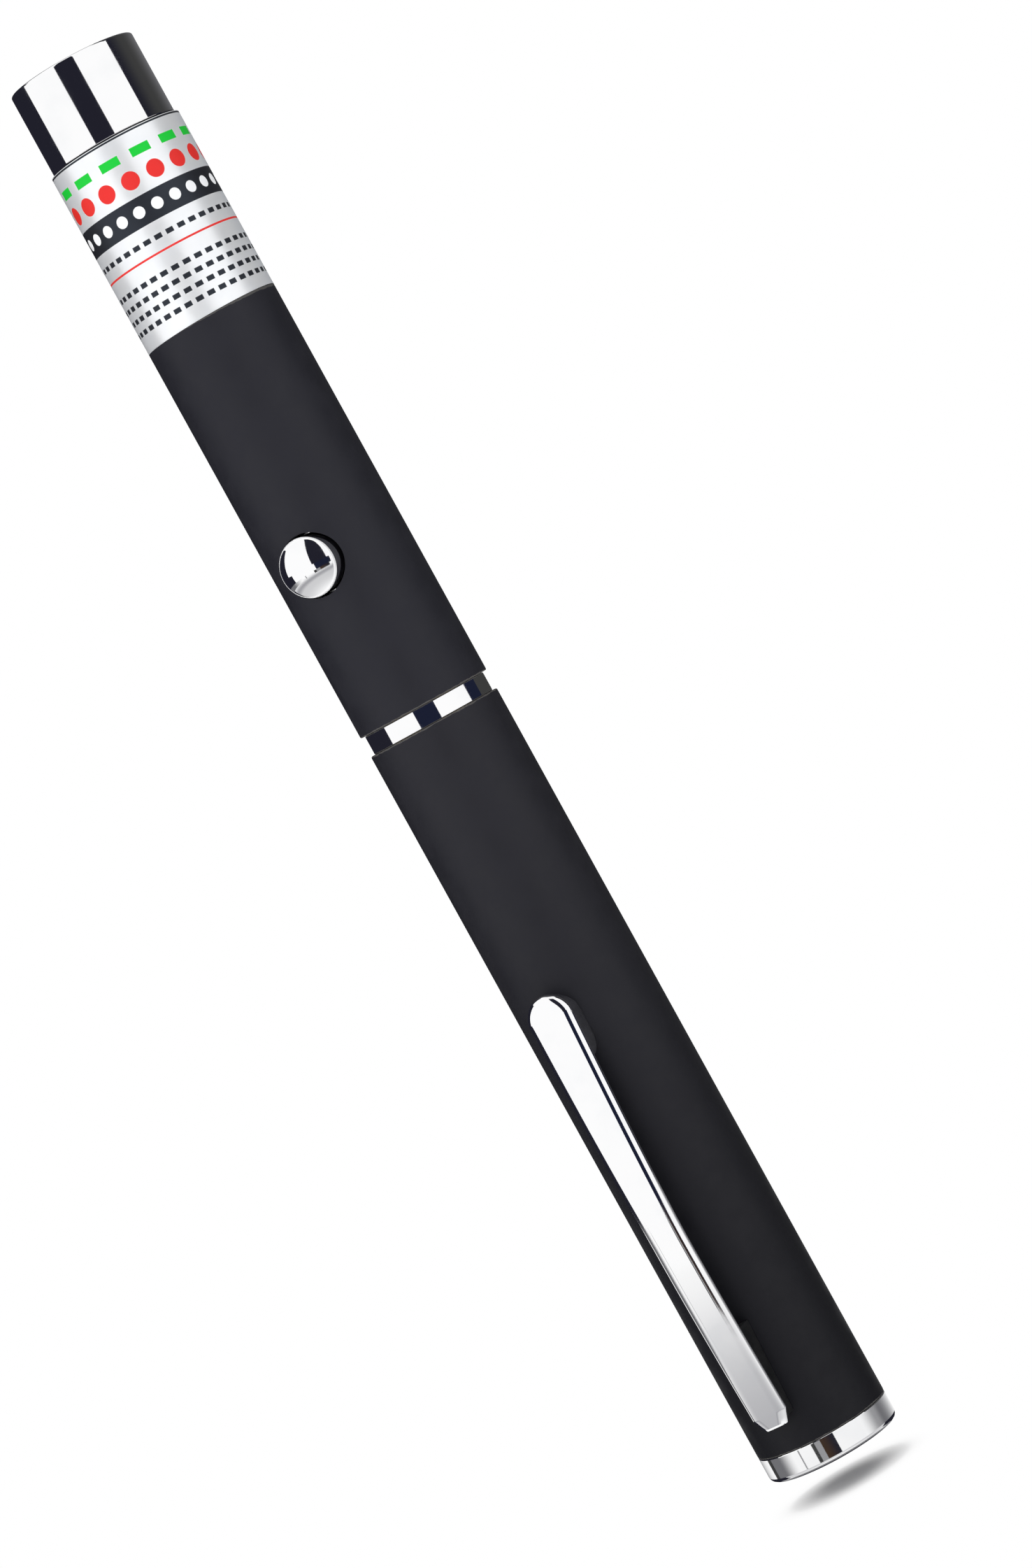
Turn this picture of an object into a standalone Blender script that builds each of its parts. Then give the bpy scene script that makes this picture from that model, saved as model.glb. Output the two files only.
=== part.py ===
"""Laser pointer pen, standing on its flat tail.

Metres. +Z runs along the pen's axis from the tail to the aperture, and the origin is the centre of
the tail face. The clip and the push button face -Y. Two barrel halves screw together at a nipple
under the centre ring: the rear half holds two cells, and the front half holds the driver, the push
button and the laser module.
"""

import math

import bmesh
import bpy
from mathutils import Matrix, Vector

# Facets
BARREL_SEGMENTS = 48
INNER_SEGMENTS = 32
SMALL_SEGMENTS = 20
PIN_SEGMENTS = 8
DOME_STEPS = 6
LENS_STEPS = 4
SHARP_ANGLE = math.radians(35)
MERGE_DISTANCE = 1e-8

# Clearances that several pieces share
SEAT_GAP = 0.0001
FIT_GAP = 0.0001
CUT_OVERRUN = 0.0010

# Barrels
BARREL_WALL = 0.0010
BARREL_EDGE_BEVEL = 0.00015

# Centre ring, whose outside lies a step below the barrels'
CENTRE_RING_STEP = 0.00045
CENTRE_RING_LENGTH = 0.0022
CENTRE_RING_BEVEL = 0.0001

# Tail cap, flush with the rear barrel
TAIL_CAP_LENGTH = 0.0027
TAIL_CAP_EDGE_BEVEL = 0.0003
TAIL_CAP_PLUG_LENGTH = 0.0034
TAIL_CAP_PLUG_WALL = 0.0005
TAIL_CAP_FLOOR = 0.0014

# Head cap, whose outside lies a step below the front barrel's
HEAD_STEP = 0.00035
HEAD_LENGTH = 0.0088
HEAD_EDGE_BEVEL = 0.0002
HEAD_SPIGOT_LENGTH = 0.0043
HEAD_FRONT_WALL = 0.0020
APERTURE_RADIUS = 0.0022
APERTURE_CHAMFER = 0.0007

# Label sleeve
LABEL_LENGTH = 0.0191
LABEL_THICKNESS = 0.00012
LABEL_GLUE_GAP = 0.00005
LABEL_SEAM_ANGLE = math.radians(6)

# Coupler nipple and the rear barrel's mouth
NIPPLE_WALL = 0.00045
NIPPLE_REAR_LENGTH = 0.0052
NIPPLE_FRONT_LENGTH = 0.0075
NIPPLE_LEAD_LENGTH = 0.0004
THREAD_PITCH = 0.00075
THREAD_RIDGE = 0.00028
THREAD_ROWS_PER_PITCH = 4
THREAD_RELIEF_LENGTH = 0.0004
THREAD_FADE_POWER = 0.25
MOUTH_EXTRA_DEPTH = 0.0006

# Cells, which set the barrels' bore and the rear barrel's length, and their springs
CELL_DIAMETER = 0.0105
CELL_LENGTH = 0.0445
CELL_SIDE_CLEARANCE = 0.00075
CELL_REACH_INTO_FRONT = 0.0121
CELL_NUB_RADIUS = 0.0019
CELL_NUB_HEIGHT = 0.0009
CELL_JACKET_STEP = 0.00015
CELL_END_WIDTH = 0.0005
CELL_GAP = 0.0002
TAIL_SPRING_WIRE_RADIUS = 0.00022
TAIL_SPRING_HEIGHT = 0.0024
TAIL_SPRING_TOP_RADIUS = 0.0018
TAIL_SPRING_TURNS = 3
CONTACT_SPRING_WIRE_RADIUS = 0.0002
CONTACT_SPRING_HEIGHT = 0.0019
CONTACT_SPRING_TOP_RADIUS = 0.0011
CONTACT_SPRING_TURNS = 2
CONTACT_SPRING_LEAD_LENGTH = 0.0022
COIL_POINTS_PER_TURN = 10

# Push button, switch and board
BUTTON_RADIUS = 0.0030
BUTTON_HOLE_CLEARANCE = 0.00025
BUTTON_SKIRT_PROUD = 0.00105
BUTTON_DOME_HEIGHT = 0.001
BUTTON_FLANGE_OVERLAP = 0.00045
BUTTON_FLANGE_DEPTH = 0.0021
BUTTON_TO_PLUNGER_GAP = 0.0003
SWITCH_SIDE = 0.0045
SWITCH_BEVEL = 0.0002
SWITCH_FROM_BOARD_END = 0.00155
PLUNGER_RADIUS = 0.0012
PLUNGER_PROUD = 0.0009
PLUNGER_DEPTH = 0.0004
PLUNGER_WELL_DEPTH = 0.0008
PLUNGER_WELL_CLEARANCE = 0.0001
INSULATOR_THICKNESS = 0.0007
INSULATOR_LEAD_HOLE_CLEARANCE = 0.0002
BOARD_END_GAP = 0.0003
BOARD_LENGTH = 0.0181
BOARD_THICKNESS = 0.0010
BOARD_BEHIND_AXIS = 0.0006
CARRIER_WALL = 0.0010
CARRIER_ARC_STEPS = 14

# Small parts on the board
TRIMMER_SIZE = (0.0038, 0.0018, 0.0036)
TRIMMER_ROTOR_RADIUS = 0.0013
TRIMMER_ROTOR_PROUD = 0.0004
TRIMMER_SLOT_WIDTH = 0.0004
TRANSISTOR_SIZE = (0.0045, 0.0015, 0.0025)
TRANSISTOR_TAB_HEIGHT = 0.0003
TRANSISTOR_TAB_LENGTH = 0.0011
TRANSISTOR_TO_PINS_GAP = 0.0005
CAPACITOR_RADIUS = 0.0015
CAPACITOR_HEIGHT = 0.0036
CAPACITOR_CRIMP = 0.0002
CAPACITOR_CRIMP_HEIGHT = 0.0007
RESISTOR_SIZE = (0.0020, 0.0006, 0.0013)
SMALL_PART_BEVEL = 0.0002
TRIMMER_PLACE_SHARES = (-0.22, 0.49)
CAPACITOR_PLACE_SHARES = (0.25, 0.45)
TRANSISTOR_ACROSS_SHARE = 0.10
RESISTOR_PLACE_SHARES = {"resistor_left": (-0.33, -0.1), "resistor_right": (0.39, -0.2)}

# Laser module
CLAMP_POCKET_DEPTH = 0.0038
CLAMP_POCKET_RADIUS = 0.0036
DIODE_FLANGE_RADIUS = 0.0028
DIODE_FLANGE_THICKNESS = 0.0012
DIODE_CAN_RADIUS = 0.00215
DIODE_CAN_HEIGHT = 0.0024
DIODE_WINDOW_RADIUS = 0.0008
DIODE_WINDOW_DEPTH = 0.0002
DIODE_PIN_RADIUS = 0.000225
DIODE_PIN_CIRCLE_RADIUS = 0.0010
DIODE_PIN_OVER_BOARD = 0.0016
DIODE_FRONT_CLEARANCE = 0.0003
MODULE_WEB_THICKNESS = 0.0010
MODULE_WEB_HOLE_RADIUS = 0.0012
CLAMP_RING_THICKNESS = 0.0012
CLAMP_RING_BAND = 0.0016
SPANNER_SLOT_WIDTH = 0.0007
SPANNER_SLOT_DEPTH = 0.0005
OPTICS_BORE_RADIUS = 0.0040
CRYSTAL_HOLDER_LENGTH = 0.0034
CRYSTAL_SIDE = 0.0020
CRYSTAL_LENGTH = 0.0030
EXPANDER_HOLDER_LENGTH = 0.0050
EXPANDER_BORE_RADIUS = 0.0015
EXPANDER_LENS_RADIUS = 0.0022
EXPANDER_LENS_THICKNESS = 0.0012
EXPANDER_LENS_HOLLOW = 0.0004
EXPANDER_POCKET_DEPTH = 0.0016
OPTICS_END_CLEARANCE = 0.0005
LENS_BORE_DEPTH = 0.0082
LENS_BARREL_RADIUS = 0.0045
LENS_BARREL_BORE_RADIUS = 0.0030
LENS_BARREL_HEAD_CLEARANCE = 0.0002
LENS_BARREL_FRONT_GAP = 0.0004
FILTER_RADIUS = 0.0034
FILTER_THICKNESS = 0.0006
LENS_RADIUS = 0.0036
LENS_EDGE_THICKNESS = 0.0016
LENS_CROWN = 0.0010
LENS_POCKET_DEPTH = 0.0044
RETAINER_BAND = 0.0007
RETAINER_THICKNESS = 0.0012

# Clip, its saddle and rivets
CLIP_LENGTH = 0.04735
CLIP_FROM_BARREL_END = 0.0032
CLIP_TIP_WIDTH = 0.00495
CLIP_REAR_WIDTH = 0.0038
CLIP_WIDTH_RUN = 0.026
CLIP_THICKNESS = 0.0009
CLIP_SHOULDER_WIDTH = 0.00055
CLIP_SHOULDER_DROP = 0.0003
CLIP_UNDER_BEVEL = 0.0001
CLIP_END_STAND = 0.00255
CLIP_BOW = 0.00105
CLIP_REAR_CHAMFER_LENGTH = 0.0014
CLIP_REAR_CHAMFER_WIDTH = 0.0006
CLIP_REAR_BEVEL_LENGTH = 0.0005
CLIP_REAR_BEVEL_DROP = 0.0004
CLIP_SADDLE_GAP = 0.0001
NOSE_RAMP_LENGTH = 0.0032
NOSE_SOLE_LENGTH = 0.0019
NOSE_RETURN_LENGTH = 0.0022
NOSE_FLARE = 0.0001
NOSE_BARREL_GAP = 0.0001
NOSE_RETURN_STEPS = 5
TIP_STEPS = 6
TIP_LAST_ANGLE = math.radians(78)
CLIP_BODY_STEPS = 12
ACROSS_SHARES = (1, 0.5, 0, -0.5, -1)
SADDLE_LENGTH = 0.0098
SADDLE_INSET = 0.0005
SADDLE_FRONT_WIDTH = 0.0036
SADDLE_REAR_WIDTH = 0.0030
SADDLE_STEPS = 4
RIVET_RADIUS = 0.0006
RIVET_HOLE_CLEARANCE = 0.0001
RIVET_HEAD_RADIUS = 0.0010
RIVET_HEAD_THICKNESS = 0.00035
RIVET_FROM_SADDLE_END = 0.0024

# Finishes: base colour, roughness, metallic
CHROME = ((0.80, 0.81, 0.83), 0.08, 1.0)
BLACK_LACQUER = ((0.026, 0.026, 0.030), 0.45, 0.0)
DARK_METAL = ((0.035, 0.036, 0.038), 0.35, 0.6)
SILVER_FOIL = ((0.72, 0.74, 0.80), 0.35, 0.6)
BRASS = ((0.70, 0.52, 0.24), 0.30, 1.0)
SPRING_STEEL = ((0.62, 0.62, 0.60), 0.25, 1.0)
CELL_JACKET = ((0.10, 0.16, 0.34), 0.35, 0.2)
GLASS = ((0.82, 0.90, 0.92), 0.02, 0.0)
CRYSTAL = ((0.62, 0.45, 0.68), 0.05, 0.0)
FILTER_GLASS = ((0.45, 0.75, 0.72), 0.03, 0.0)
BOARD_GREEN = ((0.03, 0.20, 0.09), 0.45, 0.0)
BLACK_PLASTIC = ((0.030, 0.030, 0.032), 0.55, 0.0)
WHITE_PLASTIC = ((0.75, 0.74, 0.70), 0.50, 0.0)
BLUE_PLASTIC = ((0.04, 0.12, 0.38), 0.45, 0.0)
TIN = ((0.66, 0.66, 0.68), 0.35, 1.0)

# The barrels' radii, from the cells out
BORE_RADIUS = CELL_DIAMETER / 2 + CELL_SIDE_CLEARANCE
BARREL_RADIUS = BORE_RADIUS + BARREL_WALL
FITTED_RADIUS = BORE_RADIUS - FIT_GAP

# Stations along the axis, from the tail up to the board
TAIL_SPRING_BOTTOM = TAIL_CAP_FLOOR + SEAT_GAP
REAR_CELL_BOTTOM = TAIL_SPRING_BOTTOM + TAIL_SPRING_HEIGHT + SEAT_GAP
FRONT_CELL_BOTTOM = REAR_CELL_BOTTOM + CELL_LENGTH + CELL_GAP
FRONT_CELL_TOP = FRONT_CELL_BOTTOM + CELL_LENGTH
REAR_BARREL_BOTTOM = TAIL_CAP_LENGTH + SEAT_GAP
REAR_BARREL_TOP = FRONT_CELL_TOP - CELL_REACH_INTO_FRONT
FRONT_BARREL_BOTTOM = REAR_BARREL_TOP + CENTRE_RING_LENGTH
CONTACT_SPRING_BOTTOM = FRONT_CELL_TOP + SEAT_GAP
INSULATOR_BOTTOM = CONTACT_SPRING_BOTTOM + CONTACT_SPRING_HEIGHT + SEAT_GAP
BOARD_BOTTOM = INSULATOR_BOTTOM + INSULATOR_THICKNESS + BOARD_END_GAP
BOARD_TOP = BOARD_BOTTOM + BOARD_LENGTH
BUTTON_HEIGHT = BOARD_BOTTOM + SWITCH_FROM_BOARD_END + SWITCH_SIDE / 2

# The module, from the board up to the head
DIODE_SEAT_DEPTH = DIODE_FLANGE_THICKNESS + 2 * SEAT_GAP
DIODE_CAN_BORE_DEPTH = DIODE_CAN_HEIGHT + DIODE_FRONT_CLEARANCE - SEAT_GAP
OPTICS_LENGTH = CRYSTAL_HOLDER_LENGTH + EXPANDER_HOLDER_LENGTH + 2 * SEAT_GAP
OPTICS_BORE_DEPTH = OPTICS_LENGTH + OPTICS_END_CLEARANCE
HOUSING_BOTTOM = BOARD_TOP + BOARD_END_GAP
DIODE_SEAT_BOTTOM = HOUSING_BOTTOM + CLAMP_POCKET_DEPTH
DIODE_CAN_BORE_BOTTOM = DIODE_SEAT_BOTTOM + DIODE_SEAT_DEPTH
WEB_BOTTOM = DIODE_CAN_BORE_BOTTOM + DIODE_CAN_BORE_DEPTH
OPTICS_BORE_BOTTOM = WEB_BOTTOM + MODULE_WEB_THICKNESS
LENS_BORE_BOTTOM = OPTICS_BORE_BOTTOM + OPTICS_BORE_DEPTH
HOUSING_TOP = LENS_BORE_BOTTOM + LENS_BORE_DEPTH
FRONT_BARREL_TOP = HOUSING_TOP + SEAT_GAP + HEAD_SPIGOT_LENGTH
PEN_LENGTH = FRONT_BARREL_TOP + HEAD_LENGTH
CRYSTAL_HOLDER_BOTTOM = OPTICS_BORE_BOTTOM + SEAT_GAP
EXPANDER_HOLDER_BOTTOM = CRYSTAL_HOLDER_BOTTOM + CRYSTAL_HOLDER_LENGTH + SEAT_GAP
LENS_BARREL_BOTTOM = LENS_BORE_BOTTOM + SEAT_GAP
LENS_BARREL_TOP = PEN_LENGTH - HEAD_FRONT_WALL - LENS_BARREL_FRONT_GAP

# The stack from the button in to the board, as distances from the axis towards -Y
BUTTON_BACK = BORE_RADIUS - BUTTON_FLANGE_DEPTH
PLUNGER_TOP = BUTTON_BACK - BUTTON_TO_PLUNGER_GAP
SWITCH_TOP = PLUNGER_TOP - PLUNGER_PROUD
BOARD_FRONT = -BOARD_BEHIND_AXIS
BOARD_BACK = BOARD_FRONT - BOARD_THICKNESS
SWITCH_HEIGHT = SWITCH_TOP - BOARD_FRONT - SEAT_GAP

# Clip stations along the axis
CLIP_BOTTOM = TAIL_CAP_LENGTH + CLIP_FROM_BARREL_END
CLIP_TOP = CLIP_BOTTOM + CLIP_LENGTH
SADDLE_BOTTOM = CLIP_BOTTOM + SADDLE_INSET
SADDLE_TOP = SADDLE_BOTTOM + SADDLE_LENGTH
NOSE_SOLE_TOP = CLIP_TOP - NOSE_RAMP_LENGTH
NOSE_SOLE_BOTTOM = NOSE_SOLE_TOP - NOSE_SOLE_LENGTH
NOSE_BOTTOM = NOSE_SOLE_BOTTOM - NOSE_RETURN_LENGTH


def clear_scene():
    for obj in list(bpy.context.scene.objects):
        bpy.data.objects.remove(obj, do_unlink=True)


def dress(obj, look):
    """Gives the object a material of its own from a (colour, roughness, metallic) look."""
    colour, roughness, metallic = look
    material = bpy.data.materials.new(obj.name + "_finish")
    material.use_nodes = True
    shader = material.node_tree.nodes["Principled BSDF"]
    shader.inputs["Base Color"].default_value = (*colour, 1.0)
    shader.inputs["Roughness"].default_value = roughness
    shader.inputs["Metallic"].default_value = metallic
    material.diffuse_color = (*colour, 1.0)
    obj.data.materials.append(material)


def empty(name, location=(0, 0, 0), rotation=(0, 0, 0), parent=None):
    """A frame for one body, with its origin on the body's joint axis."""
    frame = bpy.data.objects.new(name, None)
    frame.location = location
    frame.rotation_euler = rotation
    frame.parent = parent
    bpy.context.scene.collection.objects.link(frame)
    return frame


def add_object(name, data, look, parent=None, location=(0, 0, 0)):
    obj = bpy.data.objects.new(name, data)
    obj.location = location
    obj.parent = parent
    bpy.context.scene.collection.objects.link(obj)
    if look is not None:
        dress(obj, look)
    return obj


def finished_mesh(shape, name):
    """Turns a bmesh into a mesh with its faces out, smooth except across sharp edges."""
    bmesh.ops.recalc_face_normals(shape, faces=shape.faces)
    mesh = bpy.data.meshes.new(name)
    shape.to_mesh(mesh)
    shape.free()
    mesh.shade_smooth()
    mesh.set_sharp_from_angle(angle=SHARP_ANGLE)
    return mesh


def turned_mesh(name, profile, segments):
    """A solid of revolution about Z. The profile is its section, as (radius, height) points in order."""
    shape = bmesh.new()
    corners = [shape.verts.new((radius, 0, height)) for radius, height in profile]
    pairs = zip(corners, corners[1:] + corners[:1])
    edges = [shape.edges.new(pair) for pair in pairs if pair[0].co.x > 0 or pair[1].co.x > 0]
    bmesh.ops.spin(
        shape,
        geom=corners + edges,
        cent=(0, 0, 0),
        axis=(0, 0, 1),
        angle=math.tau,
        steps=segments,
        use_merge=True,
    )
    bmesh.ops.remove_doubles(shape, verts=shape.verts, dist=MERGE_DISTANCE)
    return finished_mesh(shape, name)


def lofted_mesh(name, sections, closed_loop=False):
    """A skin over sections of equal point counts. The ends are capped, or the last joins the first."""
    shape = bmesh.new()
    rings = [[shape.verts.new(point) for point in section] for section in sections]
    followers = rings[1:] + rings[:1] if closed_loop else rings[1:]
    for ring, follower in zip(rings, followers):
        for place, corner in enumerate(ring):
            beside = (place + 1) % len(ring)
            shape.faces.new((corner, ring[beside], follower[beside], follower[place]))
    if not closed_loop:
        shape.faces.new(rings[0])
        shape.faces.new(rings[-1])
    return finished_mesh(shape, name)


def prism_mesh(name, outline, bottom, top):
    """An outline in X and Y, extruded along Z."""
    shape = bmesh.new()
    base = shape.faces.new([shape.verts.new((x, y, bottom)) for x, y in outline])
    grown = bmesh.ops.extrude_face_region(shape, geom=[base])
    moved = [item for item in grown["geom"] if isinstance(item, bmesh.types.BMVert)]
    bmesh.ops.translate(shape, verts=moved, vec=(0, 0, top - bottom))
    return finished_mesh(shape, name)


def box_mesh(name, size, centre, bevel=0):
    """A box with its edges bevelled."""
    shape = bmesh.new()
    bmesh.ops.create_cube(shape, size=1)
    bmesh.ops.scale(shape, verts=shape.verts, vec=size)
    bmesh.ops.translate(shape, verts=shape.verts, vec=centre)
    if bevel:
        bmesh.ops.bevel(shape, geom=shape.edges, offset=bevel, segments=1, affect="EDGES")
    return finished_mesh(shape, name)


def rod_mesh(name, radius, bottom, top, segments):
    return turned_mesh(name, [(0, bottom), (radius, bottom), (radius, top), (0, top)], segments)


def helper(name, mesh):
    """A cutter or a guide, which isn't a piece of the pen."""
    obj = add_object(name, mesh, None)
    obj.hide_render = True
    obj.display_type = "WIRE"
    return obj


def combine(obj, other, operation):
    modifier = obj.modifiers.new(other.name, "BOOLEAN")
    modifier.operation = operation
    modifier.solver = "EXACT"
    modifier.object = other


def moved(mesh, matrix):
    mesh.transform(matrix)
    return mesh


def facing_minus_y(mesh, height):
    """Turns a mesh made about Z so that its +Z points to -Y at this height."""
    return moved(mesh, Matrix.Translation((0, 0, height)) @ Matrix.Rotation(math.pi / 2, 4, "X"))


def coil_points(bottom, height, bottom_radius, top_radius, turns, start_angle):
    """Points of a conical coil, from bottom to top."""
    count = turns * COIL_POINTS_PER_TURN
    points = []
    for step in range(count + 1):
        share = step / count
        angle = start_angle + math.tau * turns * share
        radius = bottom_radius + (top_radius - bottom_radius) * share
        points.append(Vector((radius * math.cos(angle), radius * math.sin(angle), bottom + height * share)))
    return points


def wire(name, points, radius, look, parent):
    """An unbroken round wire through the points."""
    curve = bpy.data.curves.new(name, "CURVE")
    curve.dimensions = "3D"
    curve.bevel_depth = radius
    curve.bevel_resolution = 1
    curve.use_fill_caps = True
    spline = curve.splines.new("POLY")
    spline.points.add(len(points) - 1)
    for slot, point in zip(spline.points, points):
        slot.co = (*point, 1)
    return add_object(name, curve, look, parent)


def least_self_gap(points, wire_radius, points_per_turn):
    """The smallest clear distance between a coil's neighbouring turns."""
    apart = [
        (first - second).length
        for place, first in enumerate(points)
        for second in points[place + points_per_turn // 2 :]
    ]
    return min(apart) - 2 * wire_radius


def clip_stand(height):
    """How far the clip's outer face stands off the barrel at this height."""
    return CLIP_END_STAND + CLIP_BOW * math.sin(math.pi * (height - CLIP_BOTTOM) / CLIP_LENGTH)


def clip_face(height):
    return BARREL_RADIUS + clip_stand(height)


def clip_underside(height):
    return clip_face(height) - CLIP_THICKNESS


def clip_half_width(height):
    """Half the clip's width: widest at the tip, narrowing evenly to the rear width over the width run."""
    below_tip_share = min((CLIP_TOP - height) / CLIP_WIDTH_RUN, 1)
    return (CLIP_TIP_WIDTH + (CLIP_REAR_WIDTH - CLIP_TIP_WIDTH) * below_tip_share) / 2


def nose_share(height):
    """How far the nose reaches from the clip's underside to the barrel, from 0 to 1."""
    if height >= NOSE_SOLE_TOP:
        return math.sin(math.pi / 2 * (CLIP_TOP - height) / NOSE_RAMP_LENGTH)
    if height >= NOSE_SOLE_BOTTOM:
        return 1
    if height <= NOSE_BOTTOM:
        return 0
    return math.sqrt(1 - ((NOSE_SOLE_BOTTOM - height) / NOSE_RETURN_LENGTH) ** 2)


def clip_section(height, half_width, drop=0):
    """The clip's section at a height, with its curved nose where there is one."""
    face = clip_face(height) - drop
    under = clip_underside(height)
    share = nose_share(height)
    foot_half = half_width - CLIP_UNDER_BEVEL + (NOSE_FLARE + CLIP_UNDER_BEVEL) * share
    shoulder = min(CLIP_SHOULDER_WIDTH, half_width / 2)
    section = [
        (-half_width, -under - CLIP_UNDER_BEVEL),
        (-half_width, -face + CLIP_SHOULDER_DROP),
        (-half_width + shoulder, -face),
        (half_width - shoulder, -face),
        (half_width, -face + CLIP_SHOULDER_DROP),
        (half_width, -under - CLIP_UNDER_BEVEL),
    ]
    for across_share in ACROSS_SHARES:
        x = foot_half * across_share
        touching = math.sqrt((BARREL_RADIUS + NOSE_BARREL_GAP) ** 2 - x**2)
        section.append((x, -(under + (touching - under) * share)))
    return [Vector((x, y, height)) for x, y in section]


def make_rear_barrel(parent):
    length = REAR_BARREL_TOP - REAR_BARREL_BOTTOM
    mouth_depth = NIPPLE_REAR_LENGTH + MOUTH_EXTRA_DEPTH
    mouth_radius = FITTED_RADIUS + THREAD_RIDGE + FIT_GAP
    profile = [
        (BARREL_RADIUS - BARREL_EDGE_BEVEL, 0),
        (BARREL_RADIUS, BARREL_EDGE_BEVEL),
        (BARREL_RADIUS, length - BARREL_EDGE_BEVEL),
        (BARREL_RADIUS - BARREL_EDGE_BEVEL, length),
        (mouth_radius, length),
        (mouth_radius, length - mouth_depth),
        (BORE_RADIUS, length - mouth_depth),
        (BORE_RADIUS, 0),
    ]
    mesh = turned_mesh("rear_barrel", profile, BARREL_SEGMENTS)
    barrel = add_object("rear_barrel", mesh, BLACK_LACQUER, parent, (0, 0, REAR_BARREL_BOTTOM))
    hole_radius = RIVET_RADIUS + RIVET_HOLE_CLEARANCE
    for place, height in enumerate(rivet_heights()):
        name = f"barrel_rivet_hole_{place + 1}"
        hole = rod_mesh(name, hole_radius, 0, BARREL_RADIUS + CUT_OVERRUN, PIN_SEGMENTS)
        combine(barrel, helper(name, facing_minus_y(hole, height)), "DIFFERENCE")


def make_tail_cap(parent):
    plug_top = TAIL_CAP_LENGTH + TAIL_CAP_PLUG_LENGTH
    bore = FITTED_RADIUS - TAIL_CAP_PLUG_WALL
    profile = [
        (0, 0),
        (BARREL_RADIUS - TAIL_CAP_EDGE_BEVEL, 0),
        (BARREL_RADIUS, TAIL_CAP_EDGE_BEVEL),
        (BARREL_RADIUS, TAIL_CAP_LENGTH),
        (FITTED_RADIUS, TAIL_CAP_LENGTH),
        (FITTED_RADIUS, plug_top),
        (bore, plug_top),
        (bore, TAIL_CAP_FLOOR),
        (0, TAIL_CAP_FLOOR),
    ]
    add_object("tail_cap", turned_mesh("tail_cap", profile, BARREL_SEGMENTS), CHROME, parent)


def make_tail_spring(parent):
    reach = FITTED_RADIUS - TAIL_CAP_PLUG_WALL - FIT_GAP - TAIL_SPRING_WIRE_RADIUS
    height = TAIL_SPRING_HEIGHT - 2 * TAIL_SPRING_WIRE_RADIUS
    bottom = TAIL_SPRING_BOTTOM + TAIL_SPRING_WIRE_RADIUS
    points = coil_points(bottom, height, reach, TAIL_SPRING_TOP_RADIUS, TAIL_SPRING_TURNS, 0)
    gap = least_self_gap(points, TAIL_SPRING_WIRE_RADIUS, COIL_POINTS_PER_TURN)
    print(f"tail spring: least gap to itself {gap * 1000:.2f} mm")
    wire("tail_spring", points, TAIL_SPRING_WIRE_RADIUS, SPRING_STEEL, parent)


def make_cell(name, bottom, parent):
    radius = CELL_DIAMETER / 2
    shoulder = CELL_LENGTH - CELL_NUB_HEIGHT
    profile = [
        (0, 0),
        (radius - CELL_JACKET_STEP, 0),
        (radius - CELL_JACKET_STEP, CELL_END_WIDTH),
        (radius, CELL_END_WIDTH),
        (radius, shoulder - CELL_END_WIDTH),
        (radius - CELL_JACKET_STEP, shoulder - CELL_END_WIDTH),
        (radius - CELL_JACKET_STEP, shoulder),
        (CELL_NUB_RADIUS, shoulder),
        (CELL_NUB_RADIUS, CELL_LENGTH),
        (0, CELL_LENGTH),
    ]
    add_object(name, turned_mesh(name, profile, INNER_SEGMENTS), CELL_JACKET, parent, (0, 0, bottom))


def make_centre_ring(parent):
    radius = BARREL_RADIUS - CENTRE_RING_STEP
    length = CENTRE_RING_LENGTH - 2 * SEAT_GAP
    profile = [
        (radius - CENTRE_RING_BEVEL, 0),
        (radius, CENTRE_RING_BEVEL),
        (radius, length - CENTRE_RING_BEVEL),
        (radius - CENTRE_RING_BEVEL, length),
        (BORE_RADIUS, length),
        (BORE_RADIUS, 0),
    ]
    mesh = turned_mesh("centre_ring", profile, BARREL_SEGMENTS)
    add_object("centre_ring", mesh, CHROME, parent, (0, 0, REAR_BARREL_TOP + SEAT_GAP))


def thread_wave(turn_share):
    """A ridge of triangular section, from 0 at the root to 1 at the crest, once for each turn."""
    return 1 - abs(2 * (turn_share % 1) - 1)


def make_coupler_nipple(parent):
    """A thin tube pressed into the front barrel, with a helical ridge on its end in the rear barrel."""
    bottom = REAR_BARREL_TOP - NIPPLE_REAR_LENGTH
    top = FRONT_BARREL_BOTTOM + NIPPLE_FRONT_LENGTH
    thread_bottom = bottom + NIPPLE_LEAD_LENGTH
    thread_length = NIPPLE_REAR_LENGTH - NIPPLE_LEAD_LENGTH - THREAD_RELIEF_LENGTH
    row_count = round(thread_length / THREAD_PITCH * THREAD_ROWS_PER_PITCH)
    inner = FITTED_RADIUS - NIPPLE_WALL

    def ring(radius_at, height):
        angles = [math.tau * step / INNER_SEGMENTS for step in range(INNER_SEGMENTS)]
        return [Vector((radius_at(a) * math.cos(a), radius_at(a) * math.sin(a), height)) for a in angles]

    sections = [ring(lambda a: inner, bottom), ring(lambda a: FITTED_RADIUS, bottom)]
    for row in range(row_count + 1):
        row_share = row / row_count
        height = thread_bottom + thread_length * row_share
        ridge = THREAD_RIDGE * math.sin(math.pi * row_share) ** THREAD_FADE_POWER
        turns = (height - thread_bottom) / THREAD_PITCH
        sections.append(ring(lambda a: FITTED_RADIUS + ridge * thread_wave(turns - a / math.tau), height))
    sections += [ring(lambda a: FITTED_RADIUS, top), ring(lambda a: inner, top)]
    mesh = lofted_mesh("coupler_nipple", sections, closed_loop=True)
    add_object("coupler_nipple", mesh, BRASS, parent)


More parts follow.
